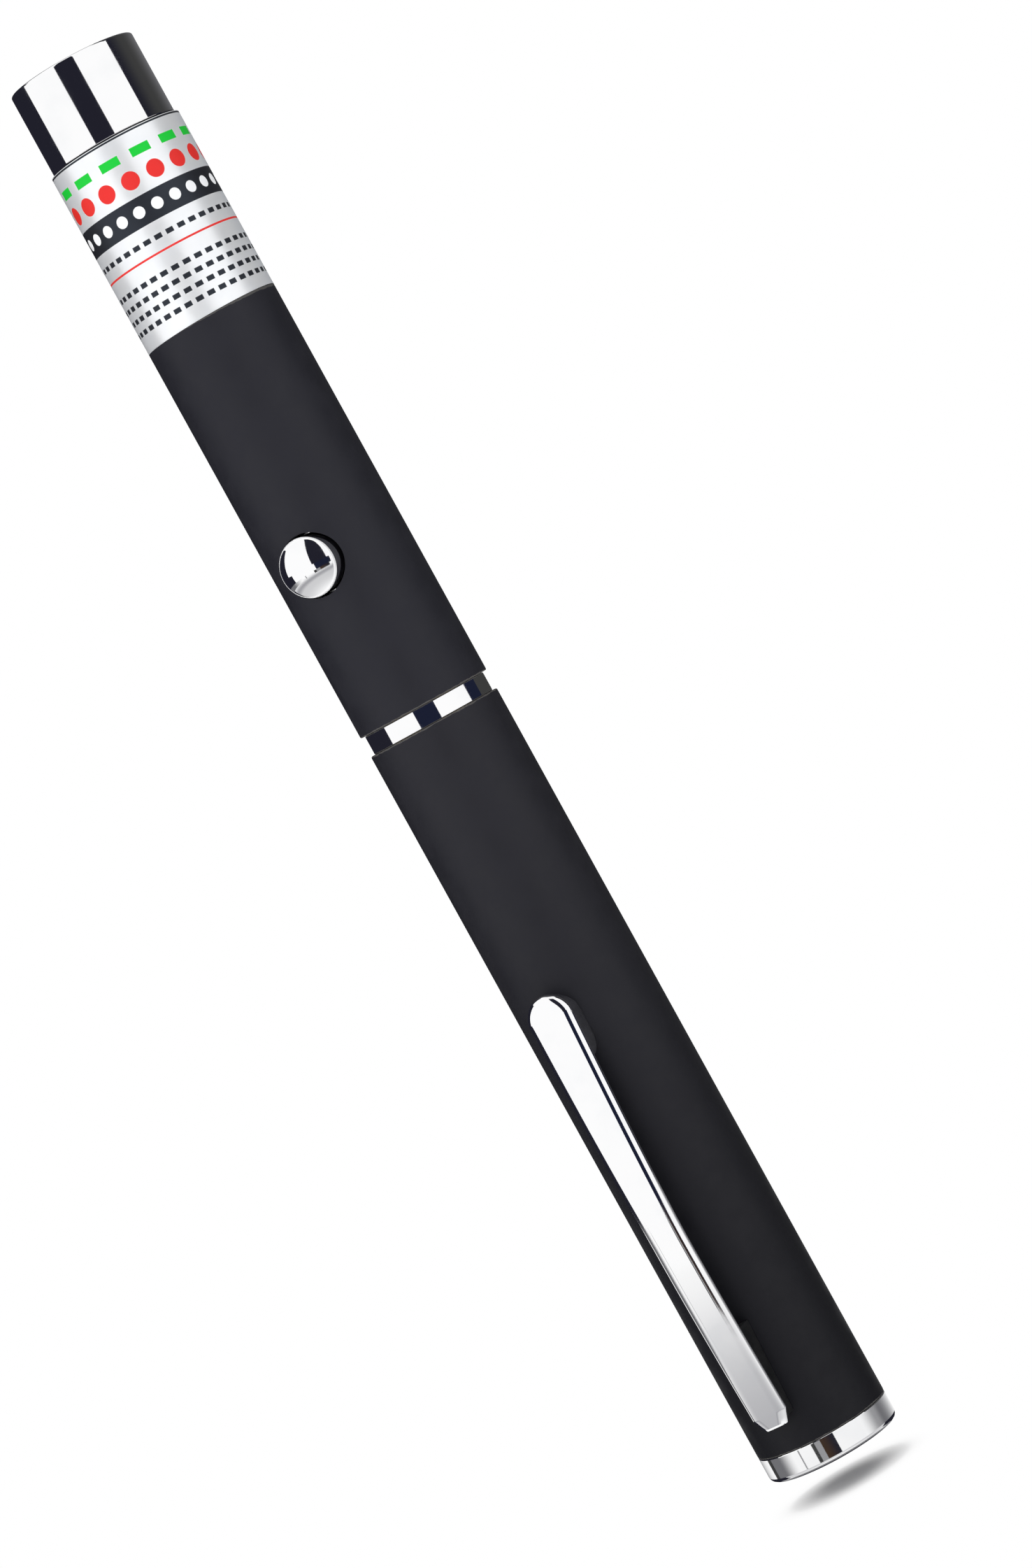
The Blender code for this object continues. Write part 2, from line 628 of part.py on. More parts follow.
def make_front_barrel(parent):
    length = FRONT_BARREL_TOP - FRONT_BARREL_BOTTOM
    label_seat = length - LABEL_LENGTH
    seat_radius = BARREL_RADIUS - LABEL_THICKNESS - LABEL_GLUE_GAP
    profile = [
        (BARREL_RADIUS - BARREL_EDGE_BEVEL, 0),
        (BARREL_RADIUS, BARREL_EDGE_BEVEL),
        (BARREL_RADIUS, label_seat),
        (seat_radius, label_seat),
        (seat_radius, length),
        (BORE_RADIUS, length),
        (BORE_RADIUS, 0),
    ]
    mesh = turned_mesh("front_barrel", profile, BARREL_SEGMENTS)
    barrel = add_object("front_barrel", mesh, BLACK_LACQUER, parent, (0, 0, FRONT_BARREL_BOTTOM))
    hole_radius = BUTTON_RADIUS + BUTTON_HOLE_CLEARANCE
    hole = rod_mesh("button_hole", hole_radius, 0, BARREL_RADIUS + CUT_OVERRUN, INNER_SEGMENTS)
    combine(barrel, helper("button_hole", facing_minus_y(hole, BUTTON_HEIGHT)), "DIFFERENCE")


def make_label_sleeve(parent):
    """Foil wrapped round the barrel's turned-down end, with a narrow seam away from the button."""
    inner = BARREL_RADIUS - LABEL_THICKNESS
    seam = math.pi / 2
    sweep = math.tau - LABEL_SEAM_ANGLE
    start = seam + LABEL_SEAM_ANGLE / 2
    angles = [start + sweep * step / BARREL_SEGMENTS for step in range(BARREL_SEGMENTS + 1)]
    outline = [(BARREL_RADIUS * math.cos(a), BARREL_RADIUS * math.sin(a)) for a in angles]
    outline += [(inner * math.cos(a), inner * math.sin(a)) for a in reversed(angles)]
    bottom = FRONT_BARREL_TOP - LABEL_LENGTH + LABEL_GLUE_GAP
    mesh = prism_mesh("label_sleeve", outline, bottom, FRONT_BARREL_TOP - LABEL_GLUE_GAP)
    add_object("label_sleeve", mesh, SILVER_FOIL, parent)


def make_head_cap(parent):
    radius = BARREL_RADIUS - HEAD_STEP
    bottom = FRONT_BARREL_TOP - HEAD_SPIGOT_LENGTH
    inner_top = PEN_LENGTH - HEAD_FRONT_WALL
    bore = LENS_BARREL_RADIUS + LENS_BARREL_HEAD_CLEARANCE
    profile = [
        (FITTED_RADIUS, bottom),
        (FITTED_RADIUS, FRONT_BARREL_TOP + SEAT_GAP),
        (radius, FRONT_BARREL_TOP + SEAT_GAP),
        (radius, PEN_LENGTH - HEAD_EDGE_BEVEL),
        (radius - HEAD_EDGE_BEVEL, PEN_LENGTH),
        (APERTURE_RADIUS + APERTURE_CHAMFER, PEN_LENGTH),
        (APERTURE_RADIUS, PEN_LENGTH - APERTURE_CHAMFER),
        (APERTURE_RADIUS, inner_top),
        (bore, inner_top),
        (bore, bottom),
    ]
    add_object("head_cap", turned_mesh("head_cap", profile, BARREL_SEGMENTS), CHROME, parent)


def make_button_cap(parent):
    """A domed button on a flange that is kept in by the barrel's wall and curved to fit inside it."""
    flange_radius = BUTTON_RADIUS + BUTTON_HOLE_CLEARANCE + BUTTON_FLANGE_OVERLAP
    skirt_top = BARREL_RADIUS + BUTTON_SKIRT_PROUD
    flange = rod_mesh("button_cap", flange_radius, BUTTON_BACK, BORE_RADIUS, INNER_SEGMENTS)
    button = add_object("button_cap", flange, CHROME, parent)
    guide_reach = flange_radius + CUT_OVERRUN
    guide = rod_mesh("flange_guide", FITTED_RADIUS, -guide_reach, guide_reach, BARREL_SEGMENTS)
    moved(guide, Matrix.Translation((0, 0, BUTTON_HEIGHT)))
    combine(button, helper("flange_guide", guide), "INTERSECT")
    profile = [(0, BUTTON_BACK), (BUTTON_RADIUS, BUTTON_BACK)]
    for step in range(DOME_STEPS + 1):
        rise = math.pi / 2 * step / DOME_STEPS
        profile.append((BUTTON_RADIUS * math.cos(rise), skirt_top + BUTTON_DOME_HEIGHT * math.sin(rise)))
    profile[-1] = (0, skirt_top + BUTTON_DOME_HEIGHT)
    dome = facing_minus_y(turned_mesh("button_dome", profile, INNER_SEGMENTS), BUTTON_HEIGHT)
    combine(button, helper("button_dome", dome), "UNION")


def make_tact_switch(parent):
    """The switch body, with a round well that the plunger slides in."""
    centre = (0, -(SWITCH_TOP - SWITCH_HEIGHT / 2), BUTTON_HEIGHT)
    body = box_mesh("tact_switch", (SWITCH_SIDE, SWITCH_HEIGHT, SWITCH_SIDE), centre, SWITCH_BEVEL)
    switch = add_object("tact_switch", body, BLACK_PLASTIC, parent)
    well = rod_mesh(
        "plunger_well",
        PLUNGER_RADIUS + PLUNGER_WELL_CLEARANCE,
        SWITCH_TOP - PLUNGER_WELL_DEPTH,
        SWITCH_TOP + CUT_OVERRUN,
        SMALL_SEGMENTS,
    )
    combine(switch, helper("plunger_well", facing_minus_y(well, BUTTON_HEIGHT)), "DIFFERENCE")


def make_switch_plunger(parent):
    foot = SWITCH_TOP - PLUNGER_DEPTH
    mesh = rod_mesh("switch_plunger", PLUNGER_RADIUS, foot, PLUNGER_TOP, SMALL_SEGMENTS)
    add_object("switch_plunger", mesh, WHITE_PLASTIC, parent)


def make_contact_spring(parent):
    """A short conical coil under the insulator, whose end runs up through it to the back of the board."""
    wire_radius = CONTACT_SPRING_WIRE_RADIUS
    lead = contact_lead_offset()
    bottom = CONTACT_SPRING_BOTTOM + wire_radius
    height = CONTACT_SPRING_HEIGHT - 2 * wire_radius
    points = coil_points(bottom, height, CONTACT_SPRING_TOP_RADIUS, lead, CONTACT_SPRING_TURNS, math.pi / 2)
    gap = least_self_gap(points, wire_radius, COIL_POINTS_PER_TURN)
    print(f"contact spring: least gap to itself {gap * 1000:.2f} mm")
    lead_top = BOARD_BOTTOM + CONTACT_SPRING_LEAD_LENGTH
    points += [Vector((0, lead, INSULATOR_BOTTOM + INSULATOR_THICKNESS / 2)), Vector((0, lead, lead_top))]
    wire("contact_spring", points, wire_radius, SPRING_STEEL, parent)


def contact_lead_offset():
    """The lead's distance from the axis towards +Y, against the board's back."""
    return -BOARD_BACK + SEAT_GAP + CONTACT_SPRING_WIRE_RADIUS


def make_insulator_disc(parent):
    top = INSULATOR_BOTTOM + INSULATOR_THICKNESS
    disc = rod_mesh("insulator_disc", FITTED_RADIUS, INSULATOR_BOTTOM, top, INNER_SEGMENTS)
    insulator = add_object("insulator_disc", disc, WHITE_PLASTIC, parent)
    radius = CONTACT_SPRING_WIRE_RADIUS + INSULATOR_LEAD_HOLE_CLEARANCE
    hole = rod_mesh("lead_hole", radius, INSULATOR_BOTTOM - CUT_OVERRUN, top + CUT_OVERRUN, PIN_SEGMENTS)
    moved(hole, Matrix.Translation((0, contact_lead_offset(), 0)))
    combine(insulator, helper("lead_hole", hole), "DIFFERENCE")


def board_half_width():
    """As wide as the bore lets the board's back be."""
    return math.sqrt(FITTED_RADIUS**2 - BOARD_BACK**2) - FIT_GAP


def make_driver_board(parent):
    size = (2 * board_half_width(), BOARD_THICKNESS, BOARD_TOP - BOARD_BOTTOM)
    centre = (0, -(BOARD_FRONT + BOARD_BACK) / 2, (BOARD_TOP + BOARD_BOTTOM) / 2)
    add_object("driver_board", box_mesh("driver_board", size, centre), BOARD_GREEN, parent)


def make_board_carrier(parent):
    """A trough behind the board, whose two edges carry it."""
    inner = FITTED_RADIUS - CARRIER_WALL
    level = -BOARD_BACK + SEAT_GAP
    outline = []
    for radius in (FITTED_RADIUS, inner):
        start = math.asin(level / radius)
        sweep = math.pi - 2 * start
        angles = [start + sweep * step / CARRIER_ARC_STEPS for step in range(CARRIER_ARC_STEPS + 1)]
        arc = [(radius * math.cos(a), radius * math.sin(a)) for a in angles]
        outline += arc if radius == FITTED_RADIUS else arc[::-1]
    mesh = prism_mesh("board_carrier", outline, BOARD_BOTTOM, BOARD_TOP)
    add_object("board_carrier", mesh, WHITE_PLASTIC, parent)


def transistor_height():
    """The transistor's middle, below the ends of the diode's pins."""
    top = BOARD_TOP - DIODE_PIN_OVER_BOARD - TRANSISTOR_TO_PINS_GAP
    return top - TRANSISTOR_SIZE[2] / 2


def on_board(place_shares):
    """A place on the board's front, as shares of its width and of the run from switch to transistor."""
    across_share, along_share = place_shares
    run_bottom = BUTTON_HEIGHT + SWITCH_SIDE / 2
    run_top = transistor_height() - TRANSISTOR_SIZE[2] / 2
    x = 2 * board_half_width() * across_share
    return x, run_bottom + (run_top - run_bottom) * along_share


def make_trim_potentiometer(parent):
    x, z = on_board(TRIMMER_PLACE_SHARES)
    body_top = BOARD_FRONT + SEAT_GAP + TRIMMER_SIZE[1]
    centre = (x, -(body_top - TRIMMER_SIZE[1] / 2), z)
    body = box_mesh("trim_potentiometer", TRIMMER_SIZE, centre, SMALL_PART_BEVEL)
    trimmer = add_object("trim_potentiometer", body, BLUE_PLASTIC, parent)
    rotor_top = body_top + TRIMMER_ROTOR_PROUD
    rotor_foot = body_top - TRIMMER_SIZE[1] / 2
    rotor = rod_mesh("trimmer_rotor", TRIMMER_ROTOR_RADIUS, rotor_foot, rotor_top, SMALL_SEGMENTS)
    rotor = moved(facing_minus_y(rotor, z), Matrix.Translation((x, 0, 0)))
    combine(trimmer, helper("trimmer_rotor", rotor), "UNION")
    slot_size = (TRIMMER_SLOT_WIDTH, 2 * TRIMMER_ROTOR_PROUD, 4 * TRIMMER_ROTOR_RADIUS)
    slot = box_mesh("trimmer_slot", slot_size, (x, -(rotor_top + TRIMMER_ROTOR_PROUD / 2), z))
    combine(trimmer, helper("trimmer_slot", slot), "DIFFERENCE")


def make_driver_transistor(parent):
    """A flat package, with its heat tab as a lower step at one side."""
    x = 2 * board_half_width() * TRANSISTOR_ACROSS_SHARE
    z = transistor_height()
    foot = BOARD_FRONT + SEAT_GAP
    width, height, length = TRANSISTOR_SIZE
    outline = [
        (-width / 2, -foot),
        (-width / 2, -(foot + TRANSISTOR_TAB_HEIGHT)),
        (-width / 2 + TRANSISTOR_TAB_LENGTH, -(foot + TRANSISTOR_TAB_HEIGHT)),
        (-width / 2 + TRANSISTOR_TAB_LENGTH, -(foot + height)),
        (width / 2 - SMALL_PART_BEVEL, -(foot + height)),
        (width / 2, -(foot + height - SMALL_PART_BEVEL)),
        (width / 2, -foot),
    ]
    outline = [(x + across, y) for across, y in outline]
    mesh = prism_mesh("driver_transistor", outline, z - length / 2, z + length / 2)
    add_object("driver_transistor", mesh, BLACK_PLASTIC, parent)


def make_smoothing_capacitor(parent):
    """A small round can, standing on the board, with a crimped waist."""
    x, z = on_board(CAPACITOR_PLACE_SHARES)
    foot = BOARD_FRONT + SEAT_GAP
    waist = foot + CAPACITOR_CRIMP_HEIGHT
    profile = [
        (0, foot),
        (CAPACITOR_RADIUS, foot),
        (CAPACITOR_RADIUS, waist - CAPACITOR_CRIMP),
        (CAPACITOR_RADIUS - CAPACITOR_CRIMP, waist),
        (CAPACITOR_RADIUS, waist + CAPACITOR_CRIMP),
        (CAPACITOR_RADIUS, foot + CAPACITOR_HEIGHT),
        (0, foot + CAPACITOR_HEIGHT),
    ]
    mesh = facing_minus_y(turned_mesh("smoothing_capacitor", profile, SMALL_SEGMENTS), z)
    add_object("smoothing_capacitor", moved(mesh, Matrix.Translation((x, 0, 0))), TIN, parent)


def make_resistors(parent):
    """One on each side of the transistor, placed by shares of the board's width and its length."""
    for name, (across_share, along_share) in RESISTOR_PLACE_SHARES.items():
        x = 2 * board_half_width() * across_share
        z = transistor_height() + TRANSISTOR_SIZE[2] * along_share
        centre = (x, -(BOARD_FRONT + SEAT_GAP + RESISTOR_SIZE[1] / 2), z)
        size = (RESISTOR_SIZE[2], RESISTOR_SIZE[1], RESISTOR_SIZE[0])
        add_object(name, box_mesh(name, size, centre), BLACK_PLASTIC, parent)


def make_module_housing(parent):
    """A brass cylinder bored from both ends, with a web between the diode and the optics."""
    bores = [
        (CLAMP_POCKET_RADIUS, HOUSING_BOTTOM, DIODE_SEAT_BOTTOM),
        (DIODE_FLANGE_RADIUS + FIT_GAP, DIODE_SEAT_BOTTOM, DIODE_CAN_BORE_BOTTOM),
        (DIODE_CAN_RADIUS + FIT_GAP, DIODE_CAN_BORE_BOTTOM, WEB_BOTTOM),
        (MODULE_WEB_HOLE_RADIUS, WEB_BOTTOM, OPTICS_BORE_BOTTOM),
        (OPTICS_BORE_RADIUS, OPTICS_BORE_BOTTOM, LENS_BORE_BOTTOM),
        (LENS_BARREL_RADIUS + FIT_GAP, LENS_BORE_BOTTOM, HOUSING_TOP),
    ]
    profile = [(FITTED_RADIUS, HOUSING_TOP), (FITTED_RADIUS, HOUSING_BOTTOM)]
    for radius, bottom, top in bores:
        profile += [(radius, bottom), (radius, top)]
    mesh = turned_mesh("module_housing", profile, INNER_SEGMENTS)
    add_object("module_housing", mesh, BRASS, parent)


def make_pump_diode(parent):
    """A round can on a flange with three pins behind it."""
    flange_bottom = DIODE_SEAT_BOTTOM + SEAT_GAP
    flange_top = flange_bottom + DIODE_FLANGE_THICKNESS
    can_top = flange_top + DIODE_CAN_HEIGHT
    profile = [
        (0, flange_bottom),
        (DIODE_FLANGE_RADIUS, flange_bottom),
        (DIODE_FLANGE_RADIUS, flange_top),
        (DIODE_CAN_RADIUS, flange_top),
        (DIODE_CAN_RADIUS, can_top),
        (DIODE_WINDOW_RADIUS, can_top),
        (DIODE_WINDOW_RADIUS, can_top - DIODE_WINDOW_DEPTH),
        (0, can_top - DIODE_WINDOW_DEPTH),
    ]
    mesh = turned_mesh("pump_diode", profile, SMALL_SEGMENTS)
    diode = add_object("pump_diode", mesh, BRASS, parent)
    pin_line = -BOARD_FRONT - SEAT_GAP - DIODE_PIN_RADIUS
    side = math.sqrt(DIODE_PIN_CIRCLE_RADIUS**2 - pin_line**2)
    places = [(-side, pin_line), (side, pin_line), (0, -DIODE_PIN_CIRCLE_RADIUS)]
    pin_bottom = BOARD_TOP - DIODE_PIN_OVER_BOARD
    pin_top = (flange_bottom + flange_top) / 2
    for number, (x, y) in enumerate(places, start=1):
        name = f"diode_pin_{number}"
        pin = rod_mesh(name, DIODE_PIN_RADIUS, pin_bottom, pin_top, PIN_SEGMENTS)
        combine(diode, helper(name, moved(pin, Matrix.Translation((x, y, 0)))), "UNION")


def make_spanner_ring(name, outer, band, bottom, thickness, look, parent):
    """A threaded ring with a slot across the face that its spanner turns."""
    top = bottom + thickness
    inner = outer - band
    profile = [(outer, bottom), (outer, top), (inner, top), (inner, bottom)]
    ring = add_object(name, turned_mesh(name, profile, INNER_SEGMENTS), look, parent)
    size = (2 * outer + CUT_OVERRUN, SPANNER_SLOT_WIDTH, 2 * SPANNER_SLOT_DEPTH)
    return ring, size


def make_diode_clamp_ring(parent):
    bottom = DIODE_SEAT_BOTTOM - CLAMP_RING_THICKNESS
    outer = CLAMP_POCKET_RADIUS - FIT_GAP
    ring, size = make_spanner_ring(
        "diode_clamp_ring", outer, CLAMP_RING_BAND, bottom, CLAMP_RING_THICKNESS, BRASS, parent
    )
    slot = box_mesh("clamp_ring_slot", size, (0, 0, bottom))
    combine(ring, helper("clamp_ring_slot", slot), "DIFFERENCE")


def make_crystal_holder(parent):
    bottom = CRYSTAL_HOLDER_BOTTOM
    top = bottom + CRYSTAL_HOLDER_LENGTH
    outer = OPTICS_BORE_RADIUS - FIT_GAP
    disc = rod_mesh("crystal_holder", outer, bottom, top, INNER_SEGMENTS)
    holder = add_object("crystal_holder", disc, BRASS, parent)
    side = CRYSTAL_SIDE + 2 * FIT_GAP
    middle = (bottom + top) / 2
    cut_length = CRYSTAL_HOLDER_LENGTH + CUT_OVERRUN
    window = box_mesh("crystal_window", (side, side, cut_length), (0, 0, middle))
    combine(holder, helper("crystal_window", window), "DIFFERENCE")
    crystal = box_mesh("laser_crystal", (CRYSTAL_SIDE, CRYSTAL_SIDE, CRYSTAL_LENGTH), (0, 0, middle))
    add_object("laser_crystal", crystal, CRYSTAL, parent)


def make_expander(parent):
    """The holder with a narrow bore and a pocket, and the small hollow-faced lens in the pocket."""
    bottom = EXPANDER_HOLDER_BOTTOM
    top = bottom + EXPANDER_HOLDER_LENGTH
    outer = OPTICS_BORE_RADIUS - FIT_GAP
    pocket = EXPANDER_LENS_RADIUS + FIT_GAP
    pocket_bottom = top - EXPANDER_POCKET_DEPTH
    profile = [
        (outer, bottom),
        (outer, top),
        (pocket, top),
        (pocket, pocket_bottom),
        (EXPANDER_BORE_RADIUS, pocket_bottom),
        (EXPANDER_BORE_RADIUS, bottom),
    ]
    add_object("expander_holder", turned_mesh("expander_holder", profile, INNER_SEGMENTS), BRASS, parent)
    lens_bottom = pocket_bottom + SEAT_GAP
    lens_top = lens_bottom + EXPANDER_LENS_THICKNESS
    section = [(0, lens_bottom), (EXPANDER_LENS_RADIUS, lens_bottom), (EXPANDER_LENS_RADIUS, lens_top)]
    for step in range(1, LENS_STEPS + 1):
        inward_share = step / LENS_STEPS
        hollow = EXPANDER_LENS_HOLLOW * (1 - (1 - inward_share) ** 2)
        section.append((EXPANDER_LENS_RADIUS * (1 - inward_share), lens_top - hollow))
    add_object("expander_lens", turned_mesh("expander_lens", section, SMALL_SEGMENTS), GLASS, parent)


def make_lens_barrel(parent):
    filter_pocket = FILTER_RADIUS + FIT_GAP
    lens_pocket = LENS_RADIUS + FIT_GAP
    filter_seat = LENS_BARREL_BOTTOM + FILTER_THICKNESS + 2 * SEAT_GAP
    lens_seat = LENS_BARREL_TOP - LENS_POCKET_DEPTH
    profile = [
        (LENS_BARREL_RADIUS, LENS_BARREL_BOTTOM),
        (LENS_BARREL_RADIUS, LENS_BARREL_TOP),
        (lens_pocket, LENS_BARREL_TOP),
        (lens_pocket, lens_seat),
        (LENS_BARREL_BORE_RADIUS, lens_seat),
        (LENS_BARREL_BORE_RADIUS, filter_seat),
        (filter_pocket, filter_seat),
        (filter_pocket, LENS_BARREL_BOTTOM),
    ]
    add_object("lens_barrel", turned_mesh("lens_barrel", profile, INNER_SEGMENTS), BRASS, parent)
    filter_bottom = LENS_BARREL_BOTTOM + SEAT_GAP
    filter_top = filter_bottom + FILTER_THICKNESS
    plate = rod_mesh("infrared_filter", FILTER_RADIUS, filter_bottom, filter_top, INNER_SEGMENTS)
    add_object("infrared_filter", plate, FILTER_GLASS, parent)


def lens_crown_at(radius):
    """The height of the collimator's curved face over its edge."""
    return LENS_CROWN * (1 - (radius / LENS_RADIUS) ** 2)


def make_collimator_lens(parent):
    bottom = LENS_BARREL_TOP - LENS_POCKET_DEPTH + SEAT_GAP
    edge = bottom + LENS_EDGE_THICKNESS
    section = [(0, bottom), (LENS_RADIUS, bottom)]
    for step in range(LENS_STEPS + 1):
        radius = LENS_RADIUS * (1 - step / LENS_STEPS)
        section.append((radius, edge + lens_crown_at(radius)))
    add_object("collimator_lens", turned_mesh("collimator_lens", section, INNER_SEGMENTS), GLASS, parent)
    retainer_bottom = edge + lens_crown_at(LENS_RADIUS - RETAINER_BAND) + SEAT_GAP
    ring, size = make_spanner_ring(
        "lens_retainer_ring", LENS_RADIUS, RETAINER_BAND, retainer_bottom, RETAINER_THICKNESS, BRASS, parent
    )
    slot = box_mesh("retainer_slot", size, (0, 0, retainer_bottom + RETAINER_THICKNESS))
    combine(ring, helper("retainer_slot", slot), "DIFFERENCE")


def clip_stations():
    """Heights, half widths and face drops of the clip's sections, from the rear end to the rounded tip."""
    plain_bottom = CLIP_BOTTOM + CLIP_REAR_CHAMFER_LENGTH
    rear_half = clip_half_width(plain_bottom)
    end_half = rear_half - CLIP_REAR_CHAMFER_WIDTH
    bevel_share = CLIP_REAR_BEVEL_LENGTH / CLIP_REAR_CHAMFER_LENGTH
    bevel_half = end_half + CLIP_REAR_CHAMFER_WIDTH * bevel_share
    stations = [
        (CLIP_BOTTOM, end_half, CLIP_REAR_BEVEL_DROP),
        (CLIP_BOTTOM + CLIP_REAR_BEVEL_LENGTH, bevel_half, 0),
    ]
    body_step = (NOSE_BOTTOM - plain_bottom) / CLIP_BODY_STEPS
    heights = [plain_bottom + body_step * step for step in range(CLIP_BODY_STEPS + 1)]
    for step in range(1, NOSE_RETURN_STEPS + 1):
        swing = math.pi / 2 * step / NOSE_RETURN_STEPS
        heights.append(NOSE_BOTTOM + NOSE_RETURN_LENGTH * (1 - math.cos(swing)))
    heights.append(NOSE_SOLE_TOP)
    stations += [(height, clip_half_width(height), 0) for height in heights]
    tip_radius = clip_half_width(CLIP_TOP)
    tip_centre = CLIP_TOP - tip_radius
    for step in range(TIP_STEPS + 1):
        swing = TIP_LAST_ANGLE * step / TIP_STEPS
        stations.append((tip_centre + tip_radius * math.sin(swing), tip_radius * math.cos(swing), 0))
    return stations


def make_clip(parent, pivot):
    """A bowed bar with bevelled edges, a rounded tip and a nose that meets the barrel."""
    sections = [clip_section(height, half, drop) for height, half, drop in clip_stations()]
    mesh = moved(lofted_mesh("clip", sections), Matrix.Translation(-pivot))
    add_object("clip", mesh, CHROME, parent)


def make_clip_saddle(parent):
    """A tapered block between the barrel and the clip's rear end, hollowed to the barrel below."""
    sections = []
    for step in range(SADDLE_STEPS + 1):
        share = step / SADDLE_STEPS
        height = SADDLE_BOTTOM + SADDLE_LENGTH * share
        half = (SADDLE_REAR_WIDTH + (SADDLE_FRONT_WIDTH - SADDLE_REAR_WIDTH) * share) / 2
        top = -(clip_underside(height) - CLIP_SADDLE_GAP)
        section = [(half, top), (-half, top)]
        for across_share in reversed(ACROSS_SHARES):
            x = half * across_share
            section.append((x, -math.sqrt((BARREL_RADIUS + SEAT_GAP) ** 2 - x**2)))
        sections.append([Vector((x, y, height)) for x, y in section])
    saddle = add_object("clip_saddle", lofted_mesh("clip_saddle", sections), DARK_METAL, parent)
    hole_radius = RIVET_RADIUS + RIVET_HOLE_CLEARANCE
    for place, height in enumerate(rivet_heights()):
        name = f"saddle_rivet_hole_{place + 1}"
        hole = rod_mesh(name, hole_radius, BORE_RADIUS, rivet_top(height) + SEAT_GAP, PIN_SEGMENTS)
        combine(saddle, helper(name, facing_minus_y(hole, height)), "DIFFERENCE")


def rivet_heights():
    return SADDLE_BOTTOM + RIVET_FROM_SADDLE_END, SADDLE_TOP - RIVET_FROM_SADDLE_END


def rivet_top(height):
    """A rivet reaches half way into the saddle."""
    return (BARREL_RADIUS + clip_underside(height)) / 2


def make_rivets(parent):
    head_bottom = math.sqrt(BORE_RADIUS**2 - RIVET_HEAD_RADIUS**2) - SEAT_GAP
    for place, height in enumerate(rivet_heights()):
        name = f"saddle_rivet_{place + 1}"
        profile = [
            (0, head_bottom - RIVET_HEAD_THICKNESS),
            (RIVET_HEAD_RADIUS, head_bottom - RIVET_HEAD_THICKNESS),
            (RIVET_HEAD_RADIUS, head_bottom),
            (RIVET_RADIUS, head_bottom),
            (RIVET_RADIUS, rivet_top(height)),
            (0, rivet_top(height)),
        ]
        mesh = facing_minus_y(turned_mesh(name, profile, PIN_SEGMENTS), height)
        add_object(name, mesh, SPRING_STEEL, parent)


def make_rear_half():
    frame = empty("rear_half")
    make_rear_barrel(frame)
    make_tail_cap(frame)
    make_tail_spring(frame)
    make_clip_saddle(frame)
    make_rivets(frame)
    pivot = Vector((0, -clip_underside(SADDLE_BOTTOM), SADDLE_BOTTOM))
    make_clip(empty("clip_pivot", pivot, parent=frame), pivot)


def make_cells():
    frame = empty("cell_pack")
    make_cell("cell_rear", REAR_CELL_BOTTOM, frame)
    make_cell("cell_front", FRONT_CELL_BOTTOM, frame)


def make_front_half():
    frame = empty("front_half")
    make_coupler_nipple(frame)
    make_front_barrel(frame)
    make_label_sleeve(frame)
    make_head_cap(frame)
    make_contact_spring(frame)
    make_insulator_disc(frame)
    make_driver_board(frame)
    make_board_carrier(frame)
    make_tact_switch(frame)
    make_trim_potentiometer(frame)
    make_driver_transistor(frame)
    make_smoothing_capacitor(frame)
    make_resistors(frame)
    make_module_housing(frame)
    make_pump_diode(frame)
    make_diode_clamp_ring(frame)
    make_crystal_holder(frame)
    make_expander(frame)
    make_lens_barrel(frame)
    make_collimator_lens(frame)
    button_axis = empty("button_axis", (0, 0, BUTTON_HEIGHT), (math.pi / 2, 0, 0), frame)
    make_button_cap(button_axis)
    make_switch_plunger(button_axis)


def main():
    clear_scene()
    make_rear_half()
    make_cells()
    make_centre_ring(empty("ring_frame"))
    make_front_half()


main()
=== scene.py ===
"""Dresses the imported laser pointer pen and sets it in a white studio.

Metres, in the part's own frame: +Z runs along the pen's axis from the tail to the aperture, and the
clip and the push button face -Y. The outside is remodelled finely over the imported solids, and the
pieces inside keep their solids and get a finish each.
"""

import logging
import math
from collections.abc import Callable, Sequence
from dataclasses import dataclass, field, replace
from enum import Enum

import bmesh
import bpy
from mathutils import Matrix, Quaternion, Vector


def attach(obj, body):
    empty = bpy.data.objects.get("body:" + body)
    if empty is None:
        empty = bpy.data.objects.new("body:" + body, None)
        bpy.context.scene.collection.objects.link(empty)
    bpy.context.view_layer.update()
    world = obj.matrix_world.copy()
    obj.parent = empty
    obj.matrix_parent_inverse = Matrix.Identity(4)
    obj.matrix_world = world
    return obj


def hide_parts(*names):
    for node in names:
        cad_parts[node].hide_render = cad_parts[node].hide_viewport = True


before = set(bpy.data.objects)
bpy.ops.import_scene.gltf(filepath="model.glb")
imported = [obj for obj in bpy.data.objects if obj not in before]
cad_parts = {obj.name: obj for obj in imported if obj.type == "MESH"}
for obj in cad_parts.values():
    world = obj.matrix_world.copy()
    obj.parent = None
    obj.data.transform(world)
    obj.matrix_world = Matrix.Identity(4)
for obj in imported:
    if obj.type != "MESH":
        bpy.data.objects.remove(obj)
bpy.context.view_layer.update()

log = logging.getLogger("pen")

MM = 0.001
SEED_SIZE = 0.2 * MM
WELD_DISTANCE = 0.0005 * MM
PICK_REACH = 0.002 * MM
SMOOTH_ANGLE = math.radians(28)
BEVEL_STEPS = 2
CLOUD_LIMITS = (0.35, 0.7)
UNEVEN_LIMITS = (0.1, 1.2)
GRAIN_SHARE = 0.5
PEN_AXIS = Vector((0, 0, 1))

Point = tuple[float, float]
Colour = tuple[float, float, float]
Socket = bpy.types.NodeSocket

